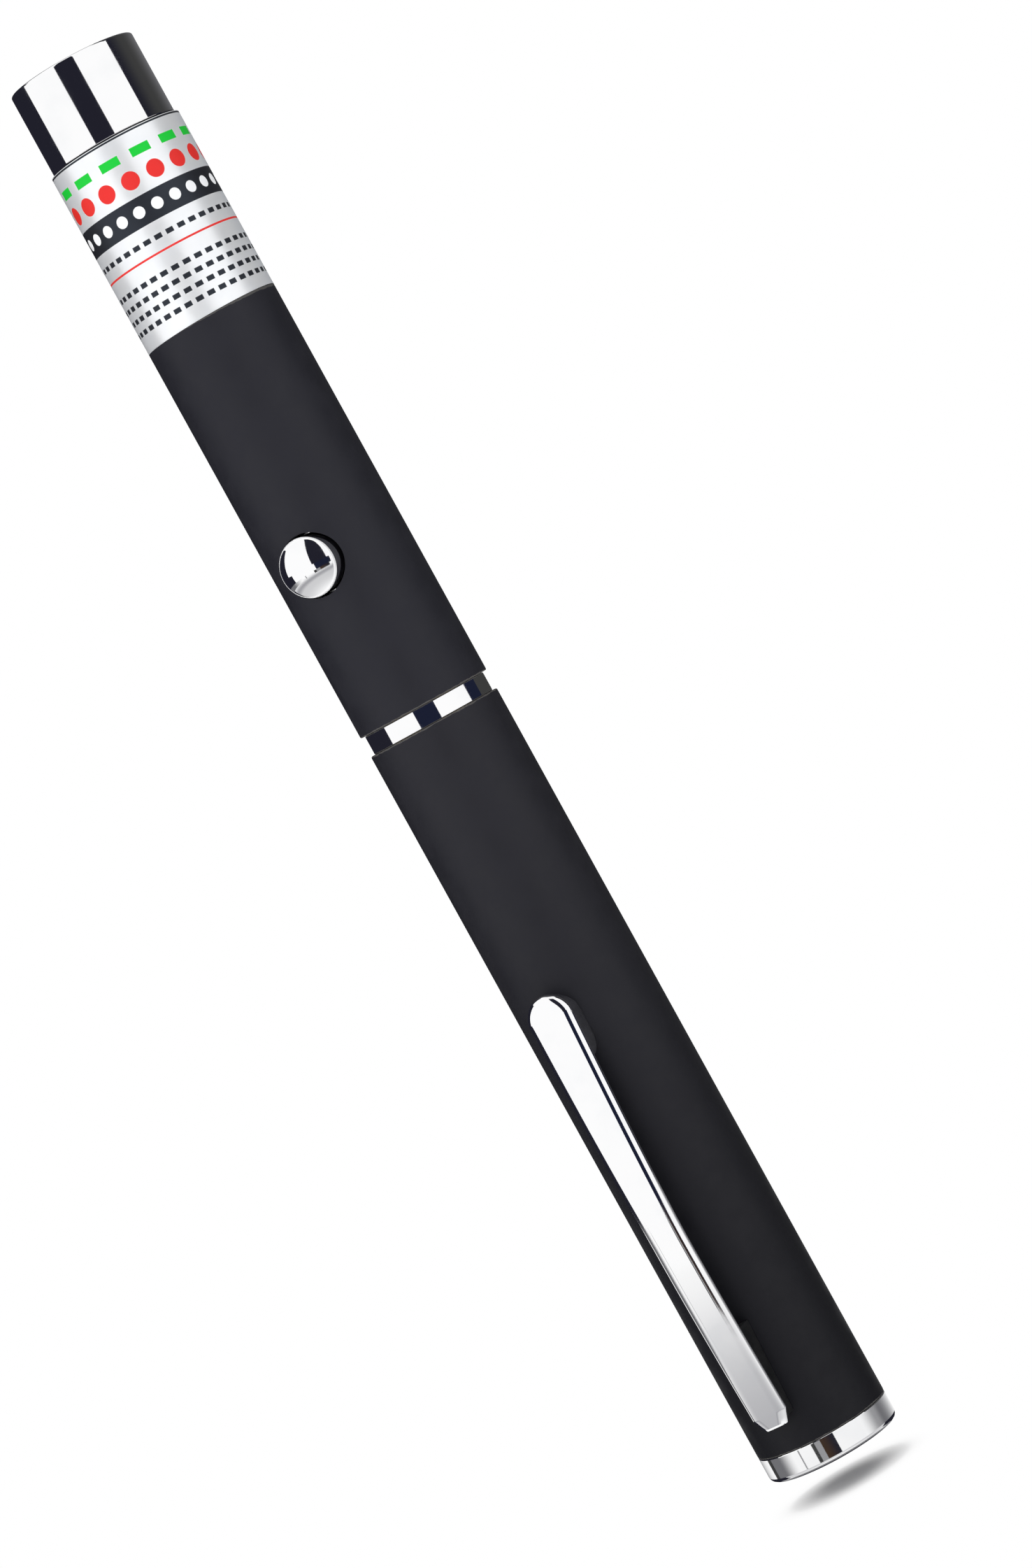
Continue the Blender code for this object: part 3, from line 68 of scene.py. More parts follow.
BARREL = 7.0 * MM
BORE = 6.0 * MM
CLEARANCE = 0.1 * MM
BUTTON_HEIGHT = 100.1 * MM
REAR_SPAN: Point = (2.72 * MM, 81.18 * MM)
FRONT_FOOT = 83.22 * MM
LABEL_STEP = 125.9 * MM
LABEL_SPAN: Point = (125.93 * MM, 145.15 * MM)


class Fineness(Enum):
    """How many steps a turned piece has round its axis."""

    LARGE = 192
    MEDIUM = 96
    SMALL = 48


class Run(Enum):
    """Which way a card's shade runs."""

    ROUND = "from its left edge to its right edge"
    UP = "from its lower edge to its upper edge"


class Facing(Enum):
    """Which way a turned piece's own height points, with the axis that it turns about."""

    HEAD = (0, 0, 1)
    BUTTON = (0, 1, 0)


@dataclass(frozen=True)
class Turning:
    """How a section is turned into a round piece."""

    fineness: Fineness = Fineness.LARGE
    facing: Facing = Facing.HEAD
    at: float = 0.0  # where the button's own axis crosses the pen's
    start: float = 0.0  # the angle where the turn starts
    sweep: float = math.tau  # and the angle that it covers

    def point(self, radius: float, height: float) -> Vector:
        """Gives the place of a section's point where the turn starts."""
        ahead = Vector((radius * math.cos(self.start), radius * math.sin(self.start), height))
        return ahead if self.facing is Facing.HEAD else Vector((radius, -height, self.at))

    @property
    def spin(self) -> dict[str, object]:
        """The settings of the spin that turns the section."""
        steps = round(self.fineness.value * self.sweep / math.tau)
        return dict(steps=steps, angle=-self.sweep, center=(0, 0, self.at), axis=self.facing.value)


def stairs(*sizes: float) -> list[Point]:
    """Gives a stepped section's corners, from radii and heights that take turns."""
    pairs = enumerate(zip(sizes, sizes[1:]))
    return [pair if place % 2 == 0 else pair[::-1] for place, pair in pairs]


class Workpiece:
    """A new piece, shaped one hand operation at a time."""

    def __init__(self, name: str, places: Sequence[Vector]) -> None:
        """Draws the piece's first line, and leaves the piece open.

        Args:
            name: The piece's name.
            places: The line's points in order.
        """
        bpy.ops.object.select_all(action="DESELECT")
        bpy.ops.mesh.primitive_plane_add(size=SEED_SIZE, location=(0, 0, 0))
        self.piece = bpy.context.object
        self.piece.name = self.piece.data.name = name
        self.open()
        bpy.ops.mesh.select_all(action="SELECT")
        bpy.ops.transform.translate(value=places[0])
        bpy.ops.mesh.merge(type="CENTER")
        for before, after in zip(places, places[1:]):
            bpy.ops.mesh.extrude_vertices_move(TRANSFORM_OT_translate={"value": after - before})

    def take(self) -> None:
        """Makes the piece the active one and the only one selected."""
        bpy.ops.object.select_all(action="DESELECT")
        self.piece.select_set(True)
        bpy.context.view_layer.objects.active = self.piece

    def open(self) -> None:
        """Takes the piece and opens it for editing its points."""
        self.take()
        bpy.ops.object.mode_set(mode="EDIT")
        bpy.ops.mesh.select_mode(type="VERT")

    def close(self, smooth: bool = True) -> None:
        """Ends the editing.

        Args:
            smooth: Whether the piece is then smoothed across its soft edges.
        """
        bpy.ops.object.mode_set(mode="OBJECT")
        if smooth:
            bpy.ops.object.shade_smooth_by_angle(angle=SMOOTH_ANGLE)

    def mend(self) -> None:
        """Welds the open piece's doubled points, turns its faces out and closes it."""
        bpy.ops.mesh.select_all(action="SELECT")
        bpy.ops.mesh.remove_doubles(threshold=WELD_DISTANCE)
        bpy.ops.mesh.normals_make_consistent(inside=False)
        self.close()

    def pick(self, where: Callable[[Vector], bool]) -> None:
        """Selects only some of the open piece's points.

        Args:
            where: Which places have their points selected.
        """
        bpy.ops.mesh.select_all(action="DESELECT")
        shape = bmesh.from_edit_mesh(self.piece.data)
        for vert in shape.verts:
            if where(vert.co):
                vert.select_set(True)
        shape.select_flush_mode()
        bmesh.update_edit_mesh(self.piece.data)

    def move(self, rule: Callable[[Vector], Vector]) -> None:
        """Moves the open piece's selected points.

        Args:
            rule: Where a point goes to from its place.
        """
        shape = bmesh.from_edit_mesh(self.piece.data)
        for vert in [vert for vert in shape.verts if vert.select]:
            vert.co = rule(vert.co)
        bmesh.update_edit_mesh(self.piece.data)

    def round_ring(self, radius: float, height: float, width: float, segments: int = 3) -> None:
        """Rounds one circular edge about the pen's axis.

        Args:
            radius: The edge's radius.
            height: Its height.
            width: How far the rounding reaches from the edge.
            segments: Steps across the rounding.
        """
        self.open()
        self.pick(
            lambda co: max(abs(math.hypot(co.x, co.y) - radius), abs(co.z - height)) < PICK_REACH
        )
        bpy.ops.mesh.bevel(offset=width, offset_type="OFFSET", segments=segments, affect="EDGES")
        self.close()

    def soften(self, width: float, angle: float = SMOOTH_ANGLE) -> None:
        """Rounds every sharp edge with a bevel that is applied.

        Args:
            width: The bevel's width.
            angle: The least angle between faces that counts as sharp.
        """
        bevel = self.piece.modifiers.new("edges", "BEVEL")
        bevel.width = width
        bevel.segments = BEVEL_STEPS
        bevel.limit_method = "ANGLE"
        bevel.angle_limit = angle
        self.apply(bevel)

    def cut(self, cutter: "Workpiece") -> None:
        """Cuts another shape out of the piece.

        Args:
            cutter: The other shape, which is thrown away.
        """
        hole = self.piece.modifiers.new("cut", "BOOLEAN")
        hole.operation = "DIFFERENCE"
        hole.solver = "EXACT"
        hole.object = cutter.piece
        self.apply(hole)
        bpy.data.objects.remove(cutter.piece)

    def apply(self, modifier: bpy.types.Modifier) -> None:
        """Applies one modifier and smooths the piece again.

        Args:
            modifier: The modifier.
        """
        self.take()
        bpy.ops.object.modifier_apply(modifier=modifier.name)
        bpy.ops.object.shade_smooth_by_angle(angle=SMOOTH_ANGLE)


def turned(name: str, section: Sequence[Point], turning: Turning = Turning()) -> Workpiece:
    """Draws a section as a line and spins it into a closed round piece.

    Args:
        name: The piece's name.
        section: Its (radius, height) points in order. A section that starts and ends on the axis
            stays a line, and any other is closed first.
        turning: How the section is turned.

    Returns:
        The finished piece.
    """
    places = [turning.point(radius, height) for radius, height in section]
    ends = (places[0], places[-1])
    work = Workpiece(name, places)
    if section[0][0] > 0 or section[-1][0] > 0:
        work.pick(lambda co: any((co - end).length < PICK_REACH for end in ends))
        bpy.ops.mesh.edge_face_add()
    bpy.ops.mesh.select_all(action="SELECT")
    if turning.sweep < math.tau:
        bpy.ops.mesh.edge_face_add()
    bpy.ops.mesh.spin(**turning.spin)
    work.mend()
    return work


def drawn_out(name: str, sections: Sequence[Sequence[Vector]]) -> Workpiece:
    """Fills the first section and extrudes it on, fitting each section's points.

    Args:
        name: The piece's name.
        sections: Outlines with equal point counts, in order.

    Returns:
        The finished piece.
    """
    work = Workpiece(name, sections[0])
    bpy.ops.mesh.select_all(action="SELECT")
    bpy.ops.mesh.edge_face_add()
    for before, after in zip(sections, sections[1:]):
        rise = after[0] - before[0]
        bpy.ops.mesh.extrude_region_move(TRANSFORM_OT_translate={"value": rise})
        pairs = [(place + rise, wanted) for place, wanted in zip(before, after)]
        work.move(lambda co: min(pairs, key=lambda pair: (co - pair[0]).length_squared)[1])
    work.mend()
    return work


class NodeTable:
    """Lays out the nodes of one material, or of the world."""

    def __init__(self, name: str, for_world: bool = False) -> None:
        """Starts the nodes.

        Args:
            name: What the material or world is called.
            for_world: Whether they are the world's.
        """
        self.owner = (bpy.data.worlds if for_world else bpy.data.materials).new(name)
        self.owner.use_nodes = True
        self.tree = self.owner.node_tree
        self.shader = self.tree.nodes["Background" if for_world else "Principled BSDF"]

    def add(self, kind: str, inputs: dict, **settings: object) -> bpy.types.Node:
        """Adds a node.

        Args:
            kind: The node's type.
            inputs: Values or sockets for its inputs, by name or place.
            **settings: Its own settings.

        Returns:
            The node.
        """
        node = self.tree.nodes.new(kind)
        for key, value in settings.items():
            setattr(node, key, value)
        for key, value in inputs.items():
            if isinstance(value, Socket):
                self.tree.links.new(value, node.inputs[key])
            else:
                node.inputs[key].default_value = value
        return node

    def place(self, stretch: Sequence[float] = (1, 1, 1), turn: float = 0.0) -> Socket:
        """Gives the place on the piece.

        Args:
            stretch: What each of its parts is multiplied by.
            turn: How far it is then turned about the pen's axis.

        Returns:
            The place.
        """
        raw = self.add("ShaderNodeTexCoord", {}).outputs["Object"]
        inputs = {0: raw, "Rotation": (0, 0, turn), "Scale": stretch}
        return self.add("ShaderNodeMapping", inputs).outputs[0]

    def parts(self, stretch: Sequence[float] = (1, 1, 1), turn: float = 0.0) -> Sequence[Socket]:
        """Gives the parts of that place, by the names X, Y and Z."""
        return self.add("ShaderNodeSeparateXYZ", {0: self.place(stretch, turn)}).outputs

    def height(self) -> Socket:
        """Gives the height along the pen's axis."""
        return self.parts()["Z"]

    def noise(self, scale: float, detail: float, stretch: Sequence[float] = (1, 1, 1)) -> Socket:
        """Gives soft noise from 0 to 1, with features of about one over the scale."""
        inputs = {"Vector": self.place(stretch), "Scale": scale, "Detail": detail}
        return self.add("ShaderNodeTexNoise", inputs).outputs["Fac"]

    def cloud(self, scale: float) -> Socket:
        """Gives soft patches from 0 to 1."""
        return self.spread(self.noise(scale, 4.0), *CLOUD_LIMITS)

    def length(self, vector: Socket) -> Socket:
        """Gives a vector's length."""
        return self.add("ShaderNodeVectorMath", {0: vector}, operation="LENGTH").outputs["Value"]

    def maths(self, operation: str, first: object, second: object = 0.0) -> Socket:
        """Gives the result of one sum on numbers or sockets."""
        return self.add("ShaderNodeMath", {0: first, 1: second}, operation=operation).outputs[0]

    def spread(
        self, value: Socket, low: float, high: float, to_low: float = 0.0, to_high: float = 1.0
    ) -> Socket:
        """Gives a value carried from one range to another, eased at both ends and kept inside."""
        inputs = {0: value, 1: low, 2: high, 3: to_low, 4: to_high}
        return self.add("ShaderNodeMapRange", inputs, interpolation_type="SMOOTHSTEP").outputs[0]

    def blend(self, share: object, first: object, second: object) -> Socket:
        """Gives a mix of two colours."""
        inputs = {0: share, 6: rgba(first), 7: rgba(second)}
        return self.add("ShaderNodeMix", inputs, data_type="RGBA").outputs[2]

    def bump(self, height: Socket, depth: float, strength: float = 1.0) -> None:
        """Lays a relief on top of the ones before it.

        Args:
            height: Its height from 0 to 1.
            depth: Its depth.
            strength: How strongly it shows.
        """
        inputs = {"Height": height, "Distance": depth, "Strength": strength}
        if self.shader.inputs["Normal"].links:
            inputs["Normal"] = self.fed("Normal")
        self.set({"Normal": self.add("ShaderNodeBump", inputs).outputs[0]})

    def band(self, value: Socket, low: float, high: float, soft: float) -> Socket:
        """Gives 1 where a value lies between two limits and 0 outside, with soft edges."""
        rise = self.spread(value, low - soft, low + soft)
        return self.maths("MULTIPLY", rise, self.spread(value, high - soft, high + soft, 1.0, 0.0))

    def radius(self) -> Socket:
        """Gives the distance from the pen's axis."""
        return self.length(self.place((1, 1, 0)))

    def glow(self, colour: object) -> Socket:
        """Gives plain light of a colour."""
        return self.add("ShaderNodeEmission", {"Color": rgba(colour), "Strength": 1.0}).outputs[0]

    def show(self, surface: Socket) -> None:
        """Makes a surface the one that the material shows."""
        self.tree.links.new(surface, self.tree.nodes["Material Output"].inputs["Surface"])

    def fed(self, name: str) -> Socket:
        """Gives what feeds one of the shader's sockets by now."""
        return self.shader.inputs[name].links[0].from_socket

    def set(self, values: dict) -> None:
        """Sets or links the shader's sockets.

        Args:
            values: Numbers, colours or sockets by the name of what they feed.
        """
        for key, value in values.items():
            if isinstance(value, Socket):
                self.tree.links.new(value, self.shader.inputs[key])
            elif isinstance(value, tuple):
                self.shader.inputs[key].default_value = rgba(value)
            else:
                self.shader.inputs[key].default_value = value


def rgba(colour: object) -> object:
    """Gives a colour with its opacity, and a socket as it is."""
    return (*colour, 1.0) if isinstance(colour, tuple) else colour


@dataclass(frozen=True)
class Finish:
    """A finish that several pieces can share."""

    slot: str  # the record's material slot
    colour: Colour
    worn: Colour  # what the colour varies towards
    roughness: float
    spread: float = 0.05  # how far the roughness varies
    metallic: float = 0.0
    mottle: float = 400.0  # scale of the colour's variation
    grain: float = 6000.0  # scale of the relief
    depth: float = 0.002 * MM  # and its depth
    stretch: tuple[float, float, float] = (1, 1, 1)  # how the relief is drawn out

    def material(self, name: str) -> bpy.types.Material:
        """Builds the material.

        Args:
            name: What it is called.

        Returns:
            The material.
        """
        table = NodeTable(name)
        self.lay(table)
        return table.owner

    def lay(self, table: NodeTable) -> None:
        """Lays a mottled colour, uneven gloss and a fine relief.

        Args:
            table: The finish's nodes.
        """
        cloud = table.cloud(self.mottle)
        grain = table.noise(self.grain, 3.0, self.stretch)
        uneven = table.maths("ADD", cloud, table.maths("MULTIPLY", grain, GRAIN_SHARE))
        low = self.roughness - self.spread
        high = self.roughness + self.spread
        table.set({
            "Base Color": table.blend(cloud, self.colour, self.worn),
            "Roughness": table.spread(uneven, *UNEVEN_LIMITS, low, high),
            "Metallic": self.metallic,
        })
        table.bump(grain, self.depth)

    def mark(self, table: NodeTable, marks: Point) -> None:
        """Lays a clean colour and gloss with faint marks.

        Args:
            table: The finish's nodes.
            marks: The limits of noise between which a mark sets in.
        """
        mark = table.spread(table.noise(self.mottle, 5.0), *marks)
        high = self.roughness + self.spread
        table.set({
            "Base Color": table.blend(mark, self.colour, self.worn),
            "Roughness": table.spread(mark, 0.0, 1.0, self.roughness, high),
        })


@dataclass(frozen=True)
class Lacquer(Finish):
    """Matte lacquer that is rubbed a little at the ends of its tube, with a painted shade that can
    darken it towards the tube's low end.
    """

    ends: tuple[float, ...] = ()  # heights of the tube's rubbed edges
    rub_reach: float = 0.25 * MM  # how far the rubbing reaches from an edge
    rub_scale: float = 1500.0
    rubbed: Colour = (0.075, 0.072, 0.070)
    specular: float = 0.30
    painted_shade_colour: Colour = (0.0050, 0.0050, 0.0080)  # painted shade: the colour that the lacquer darkens to at its low end
    painted_shade_span: Point = (-0.1, -0.05)  # heights between which the painted shade lifts to the plain colour
    scuff_scale: float = 900.0
    scuff_stretch: tuple[float, float, float] = (1.0, 1.0, 0.35)
    scuff_limits: Point = (0.62, 0.72)  # limits of noise between which a scuff sets in
    scuff_gloss: float = 0.02  # how much smoother a scuff is

    def lay(self, table: NodeTable) -> None:
        """Lays the lacquer's painted shade, darker towards the low end, and its scuffs, then the
        rubbed edges over them.

        Args:
            table: The finish's nodes.
        """
        super().lay(table)
        height = table.height()
        ragged = table.maths("MULTIPLY", table.noise(self.rub_scale, 4.0), self.rub_reach)
        rub = 0.0
        for end in self.ends:
            away = table.maths("ABSOLUTE", table.maths("SUBTRACT", height, end))
            rub = table.maths("MAXIMUM", table.maths("LESS_THAN", away, ragged), rub)
        # painted shade: the base colour darkens towards the low end of the tube
        whole = table.blend(table.spread(height, *self.painted_shade_span), self.painted_shade_colour, table.fed("Base Color"))
        scuffs = table.noise(self.scuff_scale, 6.0, self.scuff_stretch)
        gloss = table.spread(scuffs, *self.scuff_limits, 0.0, -self.scuff_gloss)
        table.set({
            "Base Color": table.blend(rub, whole, self.rubbed),
            "Roughness": table.maths("ADD", table.fed("Roughness"), gloss),
            "Specular IOR Level": self.specular,
        })


@dataclass(frozen=True)
class Plating(Finish):
    """Polished plating with faint polishing lines and a little smudging."""

    lines: float = 9000.0  # scale of the polishing lines
    line_depth: float = 0.00012 * MM
    line_stretch: tuple[float, float, float] = (0.03, 0.03, 1.0)
    smudge_limits: Point = (0.45, 0.75)  # limits of noise between which a smudge sets in
    pit_limits: Point = (0.68, 0.78)  # and a pit
    pit_strength: float = 0.1

    def lay(self, table: NodeTable) -> None:
        """Lays the smudges, and the polishing lines over the pits.

        Args:
            table: The finish's nodes.
        """
        self.mark(table, self.smudge_limits)
        pits = table.spread(table.noise(self.grain, 2.0), *self.pit_limits)
        table.bump(pits, -self.depth, self.pit_strength)
        table.bump(table.noise(self.lines, 2.0, self.line_stretch), self.line_depth)
        table.set({"Metallic": self.metallic})


@dataclass(frozen=True)
class ButtonPlating(Plating):
    """The button's plating, polished on the dome and left satin on its rim."""

    rim: Point = (2.80 * MM, 2.86 * MM)  # where the satin sets in, from the button's axis
    rim_front: Point = (7.80 * MM, 7.86 * MM)  # and from the pen's axis
    rim_roughness: float = 0.42
    rim_metallic: float = 0.35

    def lay(self, table: NodeTable) -> None:
        """Lays the plating's nodes and then the satin rim.

        Args:
            table: The finish's nodes.
        """
        super().lay(table)
        centred = {0: table.place((1, 0, 1)), 1: (0, 0, BUTTON_HEIGHT)}
        place = table.add("ShaderNodeVectorMath", centred, operation="SUBTRACT").outputs[0]
        beside = table.spread(table.length(place), *self.rim)
        ahead = table.spread(table.parts((1, -1, 1))["Y"], *self.rim_front)
        satin = table.maths("MULTIPLY", beside, ahead)
        rough = table.maths("MULTIPLY", satin, self.rim_roughness)
        table.set({
            "Roughness": table.maths("MAXIMUM", table.fed("Roughness"), rough),
            "Metallic": table.spread(satin, 0.0, 1.0, 1.0, self.rim_metallic),
        })


@dataclass(frozen=True)
class Glass(Finish):
    """Polished glass, tinted right through, with a trace of dust."""

    bend: float = 1.52  # index of refraction
    clear: float = 1.0  # how much light passes through
    dust_limits: Point = (0.6, 0.8)  # limits of noise between which the dust sets in

    def lay(self, table: NodeTable) -> None:
        """Lays the glass's nodes."""
        self.mark(table, self.dust_limits)
        table.set({"IOR": self.bend, "Transmission Weight": self.clear})


@dataclass(frozen=True)
class CellFilm(Finish):
    """A cell's printed film, with bare steel at both ends."""

    film_radius: float = 5.14 * MM  # the film covers what lies outside it
    steel: Colour = (0.62, 0.62, 0.60)  # the bare can's colour
    stripe: Colour = (0.72, 0.73, 0.75)
    stripes: tuple[Point, ...] = ()  # lowest and highest heights
    soft: float = 0.02 * MM  # how soft their edges are

    def lay(self, table: NodeTable) -> None:
        """Lays the film with its stripes, and steel inside its edge.

        Args:
            table: The finish's nodes.
        """
        super().lay(table)
        height = table.height()
        film = table.maths("GREATER_THAN", table.radius(), self.film_radius)
        printed = table.fed("Base Color")
        for low, high in self.stripes:
            printed = table.blend(table.band(height, low, high, self.soft), printed, self.stripe)
        table.set({
            "Base Color": table.blend(film, self.steel, printed),
            "Metallic": table.maths("SUBTRACT", 1.0, film),
        })


@dataclass(frozen=True)
class PrintedFoil(Finish):
    """Silver foil with a plain banded print that runs round it."""

    soft: float = 0.03 * MM  # how soft the ink's edges are
    painted_limb_tint: Colour = (0.62, 0.78, 1.0)  # painted bluish reflection, at a glancing angle
    crinkle: Point = (350.0, 0.002 * MM)  # scale and depth
    crinkle_stretch: tuple[float, float, float] = (1.0, 1.0, 0.6)
    ink_roughness: float = 0.12  # how much rougher ink is than foil
    ink: Colour = (0.018, 0.018, 0.022)
    red: Colour = (0.80, 0.022, 0.012)
    green: Colour = (0.004, 0.60, 0.03)
    lines: tuple[Point, ...] = ((18.98 * MM, 19.16 * MM),)  # spans above the lower edge
    red_line: Point = (7.35 * MM, 7.55 * MM)
    band: Point = (10.3 * MM, 13.1 * MM)
    dot_rows: tuple[tuple[float, float, float], ...] = (  # level, pitch and radius
        (11.7 * MM, 1.9990 * MM, 0.60 * MM),
        (14.75 * MM, 2.7489 * MM, 0.92 * MM),
    )
    dash_pitch: float = 1.2566 * MM
    dash_rows: tuple[tuple[float, float, float], ...] = (  # span, and shift in pitches
        (1.50 * MM, 2.00 * MM, 0.0),
        (2.75 * MM, 3.25 * MM, 0.5),
        (4.00 * MM, 4.50 * MM, 0.0),
        (5.25 * MM, 5.75 * MM, 0.5),
        (8.60 * MM, 9.10 * MM, 0.5),
    )
    green_row: tuple[float, float, float] = (16.60 * MM, 17.50 * MM, 3.3831 * MM)  # span and pitch
    dash_gap: float = 0.19  # half the gap, in pitches

    def lay(self, table: NodeTable) -> None:
        """Lays the foil with a soft crinkle, and its inks over it.

        Args:
            table: The finish's nodes.
        """
        scale, depth = self.crinkle
        table.bump(table.noise(scale, 2.0, self.crinkle_stretch), depth)
        super().lay(table)
        up = table.maths("SUBTRACT", table.height(), LABEL_SPAN[0])
        parts = table.parts((1, -1, 1))
        angle = table.maths("ARCTAN2", parts["X"], parts["Y"])
        along = table.maths("MULTIPLY", angle, BARREL)
        foil = table.fed("Base Color")
        covered = 0.0
        for mask, colour in self.inks(table, up, along):
            foil = table.blend(mask, foil, colour)
            covered = table.maths("MAXIMUM", mask, covered)
        inked = table.maths("MULTIPLY", covered, self.ink_roughness)
        bare = table.maths("SUBTRACT", 1.0, covered)
        table.set({
            "Base Color": foil,
            "Roughness": table.maths("ADD", table.fed("Roughness"), inked),
            "Metallic": table.maths("MULTIPLY", bare, self.metallic),
            # painted reflection: tints the foil's glancing reflections blue
            "Specular Tint": self.painted_limb_tint,
        })

    def inks(self, table: NodeTable, up: Socket, along: Socket) -> list[tuple[Socket, Colour]]:
        """Lays the print as masks: lines, a dark band, and rows of dots and dashes.

        Args:
            table: The finish's nodes.
            up: Height above the label's lower edge.
            along: Distance round the label.

        Returns:
            Each mask with its ink, in printing order.
        """
        dark = (*self.lines, self.band)
        masks = [(table.band(up, low, high, self.soft), self.ink) for low, high in dark]
        masks.append((table.band(up, *self.red_line, self.soft), self.red))
        for (level, pitch, radius), ink in zip(self.dot_rows, (self.colour, self.red)):
            across = table.maths("PINGPONG", along, pitch / 2)
            flat = {0: across, 1: table.maths("SUBTRACT", up, level)}
            away = table.length(table.add("ShaderNodeCombineXYZ", flat).outputs[0])
            dot = table.spread(away, radius - self.soft, radius + self.soft, 1.0, 0.0)
            masks.append((dot, ink))
        rows = [(*span, self.dash_pitch, shift, self.ink) for *span, shift in self.dash_rows]
        for low, high, pitch, shift, ink in (*rows, (*self.green_row, 0.0, self.green)):
            beside = table.maths("PINGPONG", table.maths("ADD", along, shift * pitch), pitch / 2)
            gap = pitch * self.dash_gap
            wide = table.spread(beside, gap - self.soft, gap + self.soft)
            masks.append((table.maths("MULTIPLY", wide, table.band(up, low, high, self.soft)), ink))
        return masks


REAR_LACQUER = Lacquer(
    "black_lacquer",
    (0.0150, 0.0148, 0.0205),
    (0.0165, 0.0163, 0.0225),
    0.56,
    ends=REAR_SPAN,
    # painted shade: the rear tube darkens from here down towards the tail
    painted_shade_span=(2.0 * MM, 85.0 * MM),
)
FRONT_LACQUER = Lacquer(
    "black_lacquer",
    (0.0150, 0.0150, 0.0215),
    (0.0165, 0.0165, 0.0235),
    0.56,
    ends=(FRONT_FOOT, LABEL_STEP),
)
CHROME_LOOK = ("chrome", (0.975, 0.975, 0.98), (0.94, 0.945, 0.955), 0.045, 0.04, 1.0, 250.0)
CHROME = Plating(*CHROME_LOOK)
BUTTON_CHROME = ButtonPlating(*CHROME_LOOK)
CLIP_CHROME = replace(CHROME, roughness=0.06, line_stretch=(1.0, 1.0, 0.03))
DARK_METAL = Finish("dark_metal", (0.026, 0.027, 0.029), (0.040, 0.040, 0.042), 0.34, 0.06, 0.6)
FOIL = PrintedFoil(
    "silver_foil", (0.95, 0.96, 0.975), (0.92, 0.935, 0.96), 0.30, 0.02, 0.42, depth=0.0003 * MM
)
BRASS = Plating(
    "brass",
    (0.72, 0.52, 0.23),
    (0.56, 0.37, 0.15),
    0.22,
    0.12,
    1.0,
    lines=5000.0,
    line_depth=0.0015 * MM,
)
SPRING_STEEL = Finish("spring_steel", (0.62, 0.62, 0.60), (0.50, 0.49, 0.47), 0.24, 0.06, 1.0)
CELL_FILM = CellFilm("cell_jacket", (0.020, 0.055, 0.20), (0.028, 0.075, 0.25), 0.30)
GLASS = Glass("lens_glass", (0.86, 0.94, 0.96), (0.75, 0.82, 0.84), 0.01, 0.05)
CRYSTAL = Glass("crystal", (0.70, 0.50, 0.76), (0.60, 0.42, 0.66), 0.02, 0.05, bend=1.8)
FILTER = Glass("filter_glass", (0.50, 0.80, 0.77), (0.42, 0.70, 0.67), 0.02, 0.05)
BOARD_GREEN = Finish(
    "board_green", (0.010, 0.10, 0.035), (0.016, 0.15, 0.055), 0.38, mottle=1200.0, grain=2500.0
)
BLACK_PLASTIC = Finish("black_plastic", (0.020, 0.020, 0.022), (0.032, 0.032, 0.034), 0.50)
WHITE_PLASTIC = Finish("white_plastic", (0.70, 0.69, 0.64), (0.62, 0.60, 0.54), 0.45)
BLUE_PLASTIC = Finish("blue_plastic", (0.02, 0.08, 0.32), (0.03, 0.11, 0.40), 0.35)
TIN = Finish("tin", (0.66, 0.66, 0.68), (0.55, 0.55, 0.57), 0.30, 0.08, 1.0)


def dress(work: Workpiece, finish: Finish, body: str, *nodes: str) -> None:
    """Gives a new piece its finish and its place in the pen.

    Args:
        work: The new piece.
        finish: Its finish.
        body: The body that it rides on.
        *nodes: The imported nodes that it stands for.
    """
    piece = work.piece
    piece.data.materials.clear()
    piece.data.materials.append(finish.material(piece.name + "_finish"))
    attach(piece, body)
    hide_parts(*nodes)
    log.info("%s: %d faces, rides on %s", piece.name, len(piece.data.polygons), body)


@dataclass(frozen=True)
class LabelLean:
    """How far the label's lower edge leans, because it was wrapped a little askew."""

    angle: float = math.radians(1.3)
    bearing: float = math.radians(25.5)  # the side that it is seen leaning from, from -Y towards +X

    def tilt(self, work: Workpiece, height: float) -> None:
        """Tilts the rings of a piece that lie at a height.

        Args:
            work: The piece.
            height: The height of its level rings.
        """
        lean = Vector((math.cos(self.bearing), math.sin(self.bearing), 0)) * math.tan(self.angle)
        work.open()
        work.pick(lambda co: abs(co.z - height) < PICK_REACH)
        work.move(lambda co: co + PEN_AXIS * lean.dot(co))
        work.close()


